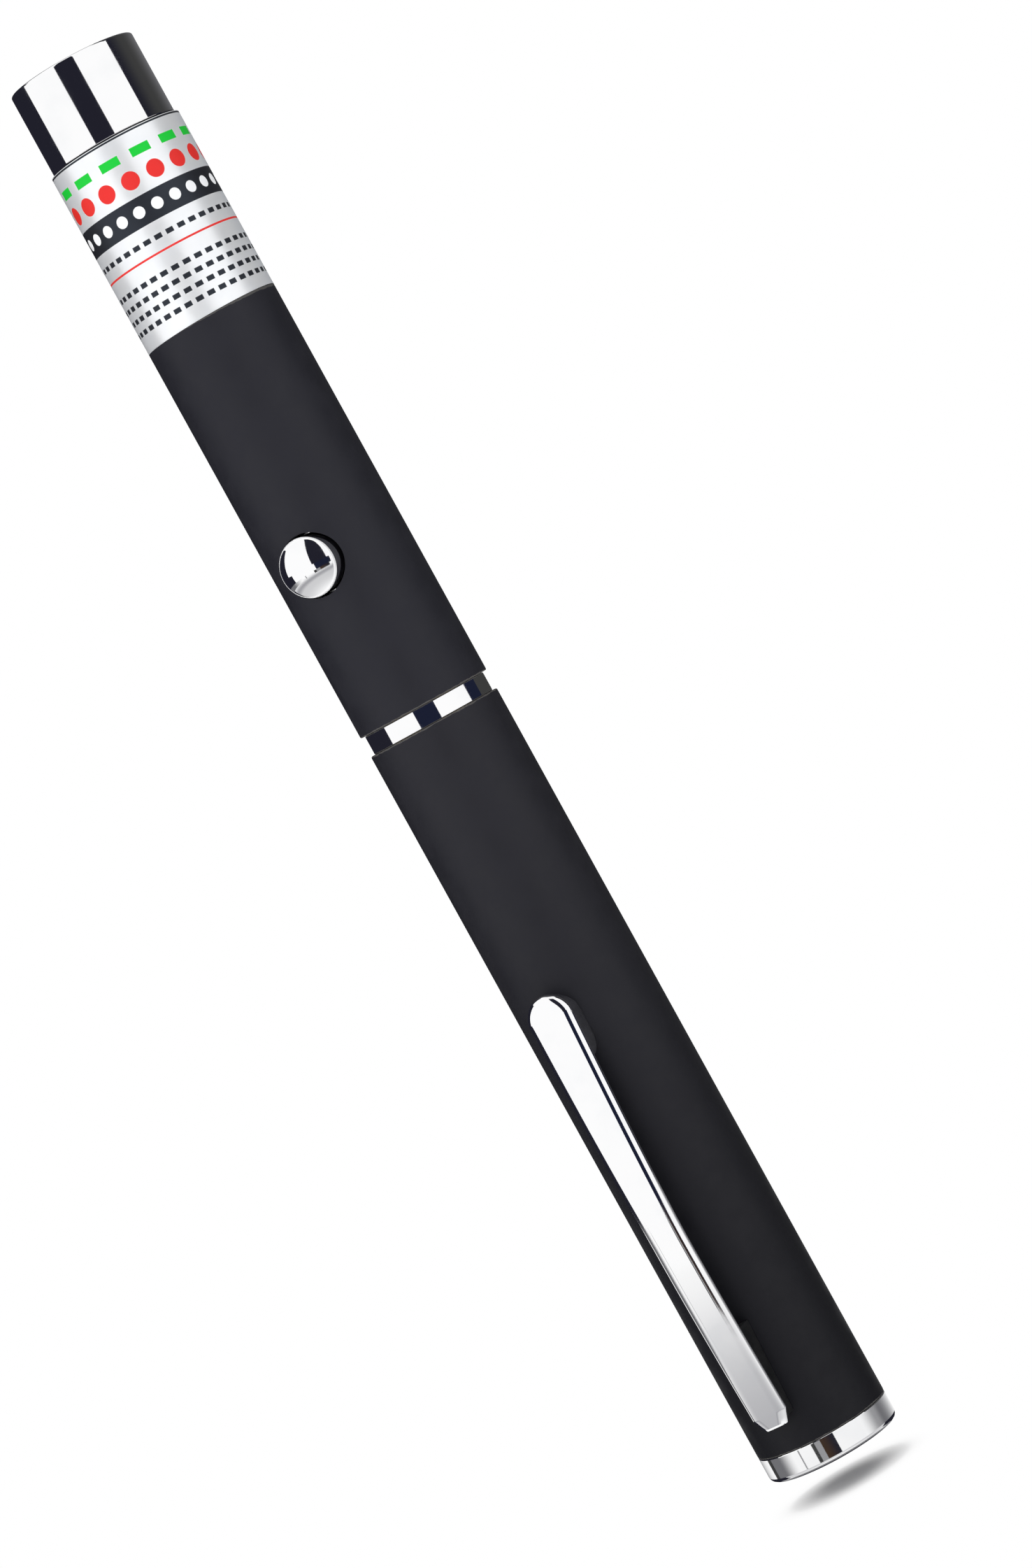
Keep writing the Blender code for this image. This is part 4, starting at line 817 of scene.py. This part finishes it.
@dataclass
class Barrels:
    """The two lacquered tubes."""

    mouth_radius: float = 6.28 * MM  # the rear tube's threaded mouth
    mouth_depth: float = 5.8 * MM
    front_top: float = 145.2 * MM
    label_seat: float = 6.83 * MM  # radius of the tube under the label
    rounding: float = 0.15 * MM  # of the tubes' ends
    button_hole_radius: float = 3.25 * MM
    rivet_hole_radius: float = 0.7 * MM
    rivet_heights: Point = (8.8 * MM, 13.8 * MM)

    def build(self) -> None:
        """Builds both tubes."""
        self.rear_tube()
        self.front_tube()

    def rear_tube(self) -> None:
        """Turns the rear tube, drills its rivet holes and dresses it."""
        low, high = REAR_SPAN
        step = high - self.mouth_depth
        tube = turned("rear_tube", stairs(BORE, low, BARREL, high, self.mouth_radius, step, BORE))
        for end in REAR_SPAN:
            tube.round_ring(BARREL, end, self.rounding)
        for height in self.rivet_heights:
            tube.cut(self.drill(self.rivet_hole_radius, height, Fineness.SMALL))
        dress(tube, REAR_LACQUER, "rear_half", "rear_barrel")

    def front_tube(self) -> None:
        """Turns the front tube, cuts its button hole and dresses it."""
        outside = (BARREL, LABEL_STEP, self.label_seat, self.front_top)
        tube = turned("front_tube", stairs(BORE, FRONT_FOOT, *outside, BORE))
        tube.round_ring(BARREL, FRONT_FOOT, self.rounding)
        LabelLean().tilt(tube, LABEL_STEP)
        tube.cut(self.drill(self.button_hole_radius, BUTTON_HEIGHT, Fineness.MEDIUM))
        dress(tube, FRONT_LACQUER, "front_half", "front_barrel")

    @staticmethod
    def drill(radius: float, height: float, fineness: Fineness) -> Workpiece:
        """Makes a rod that cuts a round hole through the -Y wall at a height."""
        section = stairs(0, BORE / 2, radius, BARREL + MM, 0)
        return turned("drill", section, Turning(fineness, Facing.BUTTON, height))


@dataclass
class Caps:
    """The chromed head cap, tail cap and centre ring."""

    fitted_radius: float = 5.9 * MM  # fits in the tubes' bore
    tail_top: float = 2.7 * MM  # where the tail cap's visible part ends
    plug_top: float = 6.1 * MM
    plug_bore: float = 5.4 * MM
    tail_wall: float = 1.4 * MM  # thickness of the tail's end wall
    tail_rounding: float = 0.55 * MM
    head_radius: float = 6.65 * MM
    head_foot: float = 145.3 * MM
    head_top: float = 154.0 * MM  # the pen's whole length
    head_rounding: float = 0.2 * MM
    spigot_foot: float = 140.9 * MM
    wall_foot: float = 152.0 * MM
    head_bore: float = 4.7 * MM
    aperture_radius: float = 2.2 * MM
    flare: float = 0.7 * MM  # chamfer round the aperture
    ring_radius: float = 6.55 * MM
    ring_span: Point = (81.2 * MM, 83.2 * MM)
    rounding: float = 0.1 * MM  # of the other edges
    end_steps: int = 4  # steps across the larger roundings

    def build(self) -> None:
        """Builds the three pieces."""
        self.tail_cap()
        self.centre_ring()
        self.head_cap()

    def tail_cap(self) -> None:
        """Turns the tail cap with its plug and dresses it."""
        outside = (BARREL, self.tail_top, self.fitted_radius, self.plug_top)
        cap = turned("tail_piece", stairs(0, 0, *outside, self.plug_bore, self.tail_wall, 0))
        cap.round_ring(BARREL, 0, self.tail_rounding, self.end_steps)
        cap.round_ring(BARREL, self.tail_top, self.rounding)
        dress(cap, CHROME, "rear_half", "tail_cap")

    def centre_ring(self) -> None:
        """Turns the ring and dresses it."""
        low, high = self.ring_span
        ring = turned("trim_ring", stairs(BORE, low, self.ring_radius, high, BORE))
        for end in self.ring_span:
            ring.round_ring(self.ring_radius, end, self.rounding)
        dress(ring, CHROME, "ring", "centre_ring")

    def head_cap(self) -> None:
        """Turns the head with its spigot and flared aperture, and dresses it."""
        aperture = self.aperture_radius
        spigot = (self.head_bore, self.spigot_foot, self.fitted_radius, self.head_foot)
        section = stairs(*spigot, self.head_radius, self.head_top, aperture + self.flare)
        section += [(aperture, self.head_top - self.flare), (aperture, self.wall_foot)]
        cap = turned("head_piece", [*section, (self.head_bore, self.wall_foot)])
        cap.round_ring(self.head_radius, self.head_top, self.head_rounding, self.end_steps)
        cap.round_ring(self.head_radius, self.head_foot, self.rounding)
        dress(cap, CHROME, "front_half", "head_cap")


@dataclass
class Label:
    """The foil label round the front tube."""

    thickness: float = 0.12 * MM
    seam: float = math.radians(6)  # left open where its ends meet

    def build(self) -> None:
        """Wraps the foil round the tube, with its seam away from the button."""
        low, high = LABEL_SPAN
        inner = BARREL - self.thickness
        turning = Turning(start=(math.pi + self.seam) / 2, sweep=math.tau - self.seam)
        label = turned("foil_label", stairs(inner, low, BARREL, high, inner), turning)
        LabelLean().tilt(label, low)
        dress(label, FOIL, "front_half", "label_sleeve")


@dataclass
class PushButton:
    """The chromed button."""

    radius: float = 3.0 * MM
    back: float = 3.9 * MM  # this and the next heights count from the pen's axis
    flange_radius: float = 3.7 * MM
    flange_top: float = 4.55 * MM
    shoulder: float = 8.05 * MM  # where the dome starts
    ball_radius: float = 5.0 * MM  # the dome is part of this ball
    corner: float = 0.24 * MM  # rounding between dome and side
    corner_steps: int = 6
    dome_steps: int = 18

    def build(self) -> None:
        """Turns the domed cap about its own axis and dresses it."""
        section = stairs(0, self.back, self.flange_radius, self.flange_top, self.radius)
        ball = self.ball_radius
        edge = math.asin(self.radius / ball)
        centre = self.shoulder - ball * math.cos(edge)
        rim = edge - self.corner / ball
        dome = []
        for step in range(self.dome_steps + 1):
            lean = rim * (1 - step / self.dome_steps)
            dome.append((ball * math.sin(lean), centre + ball * math.cos(lean)))
        inner, level = dome[0]
        for step in range(self.corner_steps):
            share = step / self.corner_steps
            fall = self.corner * (1 - share) ** 2 - (level - self.shoulder) * share**2
            radius = self.radius + (inner - self.radius) * share**2
            section.append((radius, self.shoulder - fall))
        turning = Turning(Fineness.MEDIUM, Facing.BUTTON, BUTTON_HEIGHT)
        button = turned("button_dome", section + dome, turning)
        dress(button, BUTTON_CHROME, "button", "button_cap")


@dataclass
class Clip:
    """The bowed pocket clip and the saddle that it stands on."""

    foot: float = 5.9 * MM
    length: float = 47.35 * MM
    tip_width: float = 4.95 * MM
    rear_width: float = 3.8 * MM
    width_run: float = 26.0 * MM  # how far from the tip it narrows
    thickness: float = 0.9 * MM
    edge: Point = (0.92 * MM, 0.72 * MM)  # the rounding's reach across the face and down the side
    edge_steps: int = 10
    edge_share: float = 0.85  # the most of the half width that it takes
    support: float = 0.04 * MM  # width of the flat strip inside it
    flat_share: float = 0.8  # the least of the rest that stays flat
    stand: float = 2.55 * MM  # how far the ends stand off the barrel
    bow: float = 1.05 * MM  # how much further the middle stands
    chamfer: Point = (1.4 * MM, 0.6 * MM)  # the rear corners' length and width
    chamfer_places: Point = (0.5, 0.92)
    bevel: Point = (0.22 * MM, 0.16 * MM)  # the rear end's length and drop
    ramp: float = 3.2 * MM  # the nose's length from the tip
    sole: float = 1.9 * MM  # the length that rests near the barrel
    back: float = 2.2 * MM  # the nose's rounded return
    lip: float = 0.12 * MM  # how far the sides stand out past the nose
    body_steps: int = 20
    tip_steps: int = 16
    tip_swing: float = math.radians(86)  # how far round the tip they go
    nose_steps: int = 8
    saddle_span: Point = (6.4 * MM, 16.2 * MM)
    saddle_widths: Point = (3.0 * MM, 3.6 * MM)  # at its ends
    saddle_steps: int = 6
    across: tuple[float, ...] = (1.0, 0.5, 0.0, -0.5, -1.0)  # places across the underside
    clip_edge: float = 0.03 * MM  # width of the softened edges
    clip_angle: float = math.radians(55)  # least angle that is softened
    saddle_edge: float = 0.05 * MM

    @property
    def top(self) -> float:
        """The height of the tip."""
        return self.foot + self.length

    def face(self, height: float) -> float:
        """How far the face lies from the pen's axis."""
        rise = math.sin(math.pi * (height - self.foot) / self.length)
        return BARREL + self.stand + self.bow * rise

    @staticmethod
    def resting(x: float) -> float:
        """How far what clears the barrel lies from the pen's axis, at a distance to its side."""
        return math.sqrt((BARREL + CLEARANCE) ** 2 - x**2)

    def half_width(self, height: float) -> float:
        """Half the clip's plain width at a height."""
        share = min((self.top - height) / self.width_run, 1.0)
        return (self.tip_width + (self.rear_width - self.tip_width) * share) / 2

    def nose(self, height: float) -> float:
        """Gives how far the nose reaches from the underside to the barrel.

        Args:
            height: The height on the pen's axis.

        Returns:
            Its reach, from 0 to 1.
        """
        sole_top = self.top - self.ramp
        sole_foot = sole_top - self.sole
        if height >= sole_top:
            return math.sin(math.pi / 2 * (self.top - height) / self.ramp)
        if height >= sole_foot:
            return 1.0
        below = (sole_foot - height) / self.back
        return math.sqrt(1 - below**2) if below < 1 else 0.0

    def fall(self, inside: float, depth: float) -> float:
        """Gives the face's fall, out of its full depth, at a distance inside the outline."""
        share = min(max(1 - inside / self.edge[0], 0.0), 1.0)
        return depth * (1 - math.sqrt(1 - share**2))

    def section(self, height: float, half: float, drop: float) -> list[Vector]:
        """Gives the clip's outline at a height.

        Args:
            height: The height.
            half: Half its width there.
            drop: How far its face is bevelled down there.

        Returns:
            The outline's points in order.
        """
        face = self.face(height) - drop
        under = self.face(height) - self.thickness
        depth = min(self.edge[1], self.thickness - drop - 2 * CLEARANCE)
        reach = min(self.edge[0], half * self.edge_share)
        radius = self.half_width(self.top)
        past = height - (self.top - radius)
        right = []
        for step in range(self.edge_steps + 1):
            swing = math.pi / 2 * step / self.edge_steps
            x = half - reach * (1 - math.cos(swing))
            inside = half - x if past <= 0 else radius - math.hypot(x, past)
            right.append((x, face - self.fall(inside, depth)))
        inner, level = right[-1]
        right.append((max(inner - self.support, inner * self.flat_share), level))
        outline = [(-half, under + CLEARANCE)]
        outline += [(-x, out) for x, out in right]
        outline += reversed(right)
        outline.append((half, under + CLEARANCE))
        share = self.nose(height)
        foot_half = half - CLEARANCE - self.lip * share
        for place in self.across:
            x = foot_half * place
            outline.append((x, under + (self.resting(x) - under) * share))
        return [Vector((x, -out, height)) for x, out in outline]

    def stations(self) -> list[tuple[float, float, float]]:
        """Lists where the clip's sections lie.

        Returns:
            Each section's height, half width and face drop, from the rear end up.
        """
        chamfer_length, chamfer_width = self.chamfer
        bevel_length, bevel_drop = self.bevel
        plain = self.foot + chamfer_length
        end_half = self.half_width(plain) - chamfer_width
        bevel_half = end_half + chamfer_width * bevel_length / chamfer_length
        rows = [(self.foot, end_half, bevel_drop), (self.foot + bevel_length, bevel_half, 0.0)]
        for place in self.chamfer_places:
            rows.append((self.foot + chamfer_length * place, end_half + chamfer_width * place, 0.0))
        sole_foot = self.top - self.ramp - self.sole
        nose_foot = sole_foot - self.back
        rise = (nose_foot - plain) / self.body_steps
        heights = [plain + rise * step for step in range(self.body_steps + 1)]
        heights.insert(1, plain + 2 * self.support)
        for step in range(1, self.nose_steps + 1):
            swing = math.pi / 2 * step / self.nose_steps
            heights.append(nose_foot + self.back * (1 - math.cos(swing)))
        heights.append(sole_foot + self.sole)
        rows += [(height, self.half_width(height), 0.0) for height in heights]
        radius = self.half_width(self.top)
        centre = self.top - radius
        for step in range(self.tip_steps + 1):
            swing = self.tip_swing * step / self.tip_steps
            height = centre + radius * math.sin(swing)
            rows.append((height, min(radius * math.cos(swing), self.half_width(height)), 0.0))
        return rows

    def build(self) -> None:
        """Draws out the clip and its saddle, softens their edges and dresses them."""
        sections = [self.section(*row) for row in self.stations()]
        clip = drawn_out("pocket_clip", sections)
        clip.soften(self.clip_edge, self.clip_angle)
        dress(clip, CLIP_CHROME, "clip_arm", "clip")
        saddle = drawn_out("saddle_block", self.saddle_sections())
        saddle.soften(self.saddle_edge)
        dress(saddle, DARK_METAL, "rear_half", "clip_saddle")

    def saddle_sections(self) -> list[list[Vector]]:
        """Outlines the saddle, hollowed to the barrel below and level with the clip above.

        Returns:
            Its sections in order.
        """
        low, high = self.saddle_span
        rear, front = self.saddle_widths
        sections = []
        for step in range(self.saddle_steps + 1):
            share = step / self.saddle_steps
            height = low + (high - low) * share
            half = (rear + (front - rear) * share) / 2
            top = self.face(height) - self.thickness - CLEARANCE
            outline = [(half, top), (-half, top)]
            for place in reversed(self.across):
                outline.append((half * place, self.resting(half * place)))
            sections.append([Vector((x, -out, height)) for x, out in outline])
        return sections


@dataclass
class Cells:
    """The two round cells."""

    radius: float = 5.25 * MM
    length: float = 44.5 * MM
    step: float = 0.15 * MM  # how far the jacket stands proud of the can
    crimp: float = 0.5 * MM  # length of bare can at each end
    nub_radius: float = 1.9 * MM
    nub_height: float = 0.9 * MM
    feet: Point = (4.0 * MM, 48.7 * MM)
    stripes: tuple[Point, ...] = ((36.0 * MM, 41.0 * MM), (3.0 * MM, 3.6 * MM))  # above the foot
    edge: float = 0.06 * MM  # width of the softened edges
    sharp: float = math.radians(60)  # least angle that is softened

    def build(self) -> None:
        """Turns both cells and dresses them."""
        for number, (foot, node) in enumerate(zip(self.feet, ("cell_rear", "cell_front")), 1):
            cell = self.cell(f"round_cell_{number}", foot)
            stripes = tuple((foot + low, foot + high) for low, high in self.stripes)
            dress(cell, replace(CELL_FILM, stripes=stripes), "cell_pack", node)

    def cell(self, name: str, foot: float) -> Workpiece:
        """Turns a cell with its bare ends and nub.

        Args:
            name: Its name.
            foot: The height of its foot.

        Returns:
            The cell.
        """
        can = self.radius - self.step
        top = foot + self.length
        shoulder = top - self.nub_height
        jacket = (foot + self.crimp, self.radius, shoulder - self.crimp)
        section = stairs(0, foot, can, *jacket, can, shoulder, self.nub_radius, top, 0)
        cell = turned(name, section, Turning(Fineness.MEDIUM))
        cell.soften(self.edge, self.sharp)
        return cell


class Inside:
    """The pieces inside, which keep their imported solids."""

    FINISHES: dict[Finish, str] = {
        SPRING_STEEL: "tail_spring saddle_rivet_1 saddle_rivet_2 contact_spring",
        BRASS: "coupler_nipple module_housing pump_diode diode_clamp_ring crystal_holder"
        " expander_holder lens_barrel lens_retainer_ring",
        WHITE_PLASTIC: "insulator_disc board_carrier switch_plunger",
        BLACK_PLASTIC: "tact_switch driver_transistor resistor_left resistor_right",
        BLUE_PLASTIC: "trim_potentiometer",
        BOARD_GREEN: "driver_board",
        TIN: "smoothing_capacitor",
        CRYSTAL: "laser_crystal",
        GLASS: "expander_lens collimator_lens",
        FILTER: "infrared_filter",
    }

    def build(self) -> None:
        """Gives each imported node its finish, one material for each finish."""
        for finish, nodes in self.FINISHES.items():
            material = finish.material(finish.slot + "_inside")
            for node in nodes.split():
                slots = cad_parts[node].data.materials
                slots.clear()
                slots.append(material)
                log.info("%s: dressed in %s", node, finish.slot)


@dataclass(frozen=True)
class Viewpoint:
    """Where the photograph was taken from."""

    azimuth: float = math.radians(25.5)  # from -Y towards +X
    distance: float = 480.0 * MM  # from the pen's axis
    height: float = 86.0 * MM
    aim_height: float = 72.05 * MM  # the picture's middle
    aim_aside: float = 4.12 * MM  # how far that lies to the right of the axis
    roll: float = math.radians(28.89)  # clockwise
    lens: float = 113.0  # focal length in millimetres
    reach: Point = (0.01, 20.0)  # nearest and furthest that it sees

    def bearing(self, angle: float) -> Vector:
        """Gives the level direction at an angle to the camera's right, seen from the pen."""
        turn = self.azimuth + angle
        return Vector((math.sin(turn), -math.cos(turn), 0))

    def place_camera(self) -> None:
        """Makes the camera and aims it."""
        data = bpy.data.cameras.new("portrait_camera")
        data.lens = self.lens
        data.clip_start, data.clip_end = self.reach
        camera = bpy.data.objects.new("portrait_camera", data)
        bpy.context.scene.collection.objects.link(camera)
        eye = self.bearing(0) * self.distance + PEN_AXIS * self.height
        aim = self.bearing(math.pi / 2) * self.aim_aside + PEN_AXIS * self.aim_height
        facing = (aim - eye).to_track_quat("-Z", "Y") @ Quaternion(PEN_AXIS, -self.roll)
        camera.matrix_world = Matrix.Translation(eye) @ facing.to_matrix().to_4x4()
        bpy.context.scene.camera = camera


def show_to_gloss_only(piece: bpy.types.Object) -> None:
    """Hides a piece of the stage from everything but reflections."""
    for ray in ("visible_camera", "visible_diffuse", "visible_shadow", "visible_transmission"):
        setattr(piece, ray, False)


@dataclass(frozen=True)
class Card:
    """A curved card round the pen that only reflections see."""

    name: str
    bearings: Point  # left and right edges, in degrees to the camera's right
    levels: Point  # lower and upper edges
    shades: tuple[Colour, Colour]  # where its run starts and ends
    run: Run = Run.ROUND
    distance: float = 1.2

    def build(self, view: Viewpoint) -> None:
        """Stands the card round the pen.

        Args:
            view: The viewpoint that its bearings are counted from.
        """
        left, right = (math.radians(bearing) for bearing in self.bearings)
        low, high = self.levels
        foot = view.bearing(left) * self.distance + PEN_AXIS * low
        sheet = Workpiece(self.name, [foot, foot + PEN_AXIS * (high - low)])
        bpy.ops.mesh.select_all(action="SELECT")
        steps = max(CARD_LEAST_STEPS, round(math.degrees(right - left) / CARD_STEP))
        bpy.ops.mesh.spin(steps=steps, angle=left - right, center=(0, 0, 0), axis=PEN_AXIS)
        sheet.close(smooth=False)
        card = sheet.piece
        middle = view.azimuth + (left + right) / 2
        card.data.materials.append(self.material(middle, (right - left) / 2))
        show_to_gloss_only(card)

    def material(self, middle: float, half: float) -> bpy.types.Material:
        """Makes the card's own light, which runs from one shade to the other.

        Args:
            middle: The bearing of its middle, from -Y towards +X.
            half: Half the angle that it spans.

        Returns:
            The material.
        """
        table = NodeTable(self.name + "_shade")
        if self.run is Run.UP:
            share = table.spread(table.height(), *self.levels)
        else:
            parts = table.parts(turn=math.pi / 2 - middle)
            angle = table.maths("ARCTAN2", parts["Y"], parts["X"])
            share = table.spread(angle, -half, half)
        table.show(table.glow(table.blend(share, *self.shades)))
        return table.owner


INK: Colour = (0.015, 0.015, 0.024)
NAVY: Colour = (0.011, 0.014, 0.032)
SOOT: Colour = (0.045, 0.045, 0.045)
SLATE: Colour = (0.16, 0.16, 0.17)
STONE: Colour = (0.30, 0.30, 0.31)
CLAY: Colour = (0.36, 0.36, 0.38)
CHALK: Colour = (0.62, 0.62, 0.63)
PEARL: Colour = (0.95, 0.95, 0.95)
UMBER: Colour = (0.05, 0.03, 0.02)

CARD_STEP = 4.0
CARD_LEAST_STEPS = 4
FRONT_DISTANCE = 1.25

HEAD_LEVELS: Point = (0.15, 2.6)
HEAD_LEFT_LEVELS: Point = (0.15, 1.20)
HIGH_LEVELS: Point = (1.20, 2.60)
RING_LEVELS: Point = (-0.13, 0.15)
TAIL_LEVELS: Point = (-0.26, -0.13)
LOW_LEVELS: Point = (-0.42, -0.20)
DEEP_LEVELS: Point = (-0.62, -0.42)
SUNK_LEVELS: Point = (-2.00, -0.62)
LOW_SIDE_LEVELS: Point = (-0.90, -0.26)

CARDS: tuple[Card, ...] = (
    Card("head_left", (-180.0, -97.0), HEAD_LEFT_LEVELS, (INK, INK)),
    Card("high_left", (-180.0, -130.0), HIGH_LEVELS, (INK, INK)),
    Card("head_middle", (-27.3, 9.2), HEAD_LEVELS, (INK, INK)),
    Card("head_right", (75.2, 112.0), HEAD_LEVELS, (INK, SOOT)),
    Card("head_far_right", (112.0, 180.0), HEAD_LEVELS, (SOOT, SLATE)),
    Card("ring_left", (-180.0, -86.0), RING_LEVELS, (INK, INK)),
    Card("ring_middle", (-23.5, 16.3), RING_LEVELS, (NAVY, NAVY)),
    Card("ring_right", (81.4, 110.0), RING_LEVELS, (NAVY, NAVY)),
    Card("ring_far_right", (110.0, 180.0), RING_LEVELS, (SOOT, SOOT)),
    Card("tail_far_left", (-180.0, -129.0), TAIL_LEVELS, (STONE, PEARL)),
    Card("tail_left_line", (-129.0, -119.0), TAIL_LEVELS, (SOOT, SOOT)),
    Card("tail_left_bar", (-119.0, -100.0), TAIL_LEVELS, (SLATE, SLATE)),
    Card("tail_left", (-100.0, -66.0), TAIL_LEVELS, (SLATE, PEARL)),
    Card("tail_grey_line", (-56.5, -54.0), TAIL_LEVELS, (STONE, STONE)),
    Card("tail_dark_line", (-31.0, -25.0), TAIL_LEVELS, (SOOT, SOOT)),
    Card("tail_grey_bar", (-25.0, -15.0), TAIL_LEVELS, (STONE, STONE)),
    Card("tail_middle", (-15.0, 9.0), TAIL_LEVELS, (UMBER, INK)),
    Card("tail_right", (58.0, 92.0), TAIL_LEVELS, (PEARL, STONE)),
    Card("tail_right_bar", (92.0, 108.0), TAIL_LEVELS, (STONE, SLATE)),
    Card("tail_far_right", (108.0, 180.0), TAIL_LEVELS, (SLATE, PEARL)),
    Card("low_front", (-110.0, 110.0), LOW_LEVELS, (CLAY, PEARL), Run.UP, FRONT_DISTANCE),
    Card("low_left", (-180.0, -110.0), LOW_SIDE_LEVELS, (INK, INK)),
    Card("low_right", (110.0, 180.0), LOW_SIDE_LEVELS, (INK, INK)),
    Card("deep_front", (-110.0, 110.0), DEEP_LEVELS, (CHALK, CLAY), Run.UP, FRONT_DISTANCE),
    Card("sunk_front", (-110.0, 110.0), SUNK_LEVELS, (PEARL, CHALK), Run.UP, FRONT_DISTANCE),
)


@dataclass(frozen=True)
class Lamp:
    """A soft lamp."""

    name: str
    bearing: float  # in degrees to the camera's right
    distance: float
    height: float
    side: float
    power: float  # in watts
    aim: float = 0.1  # the height on the pen's axis that it faces

    def build(self, view: Viewpoint) -> None:
        """Hangs the lamp.

        Args:
            view: The viewpoint that its bearing is counted from.
        """
        data = bpy.data.lights.new(self.name, "AREA")
        data.shape = "SQUARE"
        data.size = self.side
        data.energy = self.power
        lamp = bpy.data.objects.new(self.name, data)
        bpy.context.scene.collection.objects.link(lamp)
        aside = view.bearing(math.radians(self.bearing)) * self.distance
        lamp.location = aside + PEN_AXIS * self.height
        ahead = PEN_AXIS * self.aim - lamp.location
        lamp.rotation_euler = ahead.to_track_quat("-Z", "Y").to_euler()
        lamp.visible_glossy = False
        lamp.visible_camera = False


LAMPS: tuple[Lamp, ...] = (
    Lamp("top_lamp", 180.0, 0.03, 0.70, 0.30, 3.0),
    Lamp("left_lamp", -18.0, 0.45, 0.16, 0.30, 0.65),
)


@dataclass
class Studio:
    """A white room with a floor, soft lamps, and cards for the plating to reflect."""

    view: Viewpoint = field(default_factory=Viewpoint)
    floor_level: float = -3.3 * MM  # under the tail, as the pen's shadow stands off it
    floor_size: float = 6.0
    shadow_reach: Point = (2.0 * MM, 9.5 * MM)  # where the floor turns from matt to plain white
    spot_radius: float = 9.0 * MM
    spot_depth: float = 0.1 * MM  # also how far it lies under the floor
    ambient: float = 0.63  # the room's light on matt surfaces
    floor_white: Colour = (0.93, 0.93, 0.93)
    floor_roughness: float = 0.9

    def build(self) -> None:
        """Sets up the room."""
        self.view.place_camera()
        self.world()
        self.floor()
        self.spot()
        for item in (*CARDS, *LAMPS):
            item.build(self.view)
        bpy.context.scene.view_settings.view_transform = "Standard"

    def world(self) -> None:
        """Makes the room white to the camera and in gloss and glass, and plain on matt surfaces."""
        table = NodeTable("white_room", for_world=True)
        bpy.context.scene.world = table.owner
        rays = table.add("ShaderNodeLightPath", {}).outputs
        bright = rays["Is Camera Ray"]
        for ray in ("Is Glossy Ray", "Is Transmission Ray"):
            bright = table.maths("MAXIMUM", bright, rays[ray])
        strength = table.add("ShaderNodeMapRange", {0: bright, 3: self.ambient, 4: 1.0}).outputs[0]
        table.set({"Color": (1.0, 1.0, 1.0), "Strength": strength})

    def floor(self) -> None:
        """Lays the floor: matt under the pen for its shadow, and plain white further off."""
        bpy.ops.object.select_all(action="DESELECT")
        bpy.ops.mesh.primitive_plane_add(size=self.floor_size, location=(0, 0, self.floor_level))
        floor = bpy.context.object
        floor.name = "floor"
        table = NodeTable("floor_white")
        table.set({"Base Color": self.floor_white, "Specular IOR Level": 0.0})
        table.set({"Roughness": self.floor_roughness})
        seen = table.add("ShaderNodeLightPath", {}).outputs["Is Camera Ray"]
        far = table.maths("MULTIPLY", table.spread(table.radius(), *self.shadow_reach), seen)
        white = table.glow((1.0, 1.0, 1.0))
        mix = table.add("ShaderNodeMixShader", {0: far, 1: table.shader.outputs[0], 2: white})
        table.show(mix.outputs[0])
        floor.data.materials.append(table.owner)
        floor.visible_glossy = False

    def spot(self) -> None:
        """Lays a dark spot under the tail that only reflections show, as the pen's own shadow."""
        top = self.floor_level - self.spot_depth
        foot = top - self.spot_depth
        section = stairs(0, top, self.spot_radius, foot, 0)
        spot = turned("shadow_spot", section, Turning(Fineness.SMALL)).piece
        table = NodeTable("spot_dark")
        share = table.spread(table.radius(), self.spot_radius / 2, self.spot_radius)
        table.show(table.glow(table.blend(share, INK, STONE)))
        spot.data.materials.append(table.owner)
        show_to_gloss_only(spot)


def main() -> None:
    """Builds the pen's pieces in order, then the studio."""
    logging.basicConfig(level=logging.INFO, format="%(message)s")
    for assembly in (Barrels(), Caps(), Label(), PushButton(), Clip(), Cells(), Inside(), Studio()):
        assembly.build()
        log.info("built %s", type(assembly).__name__)


if __name__ == "__main__":
    main()
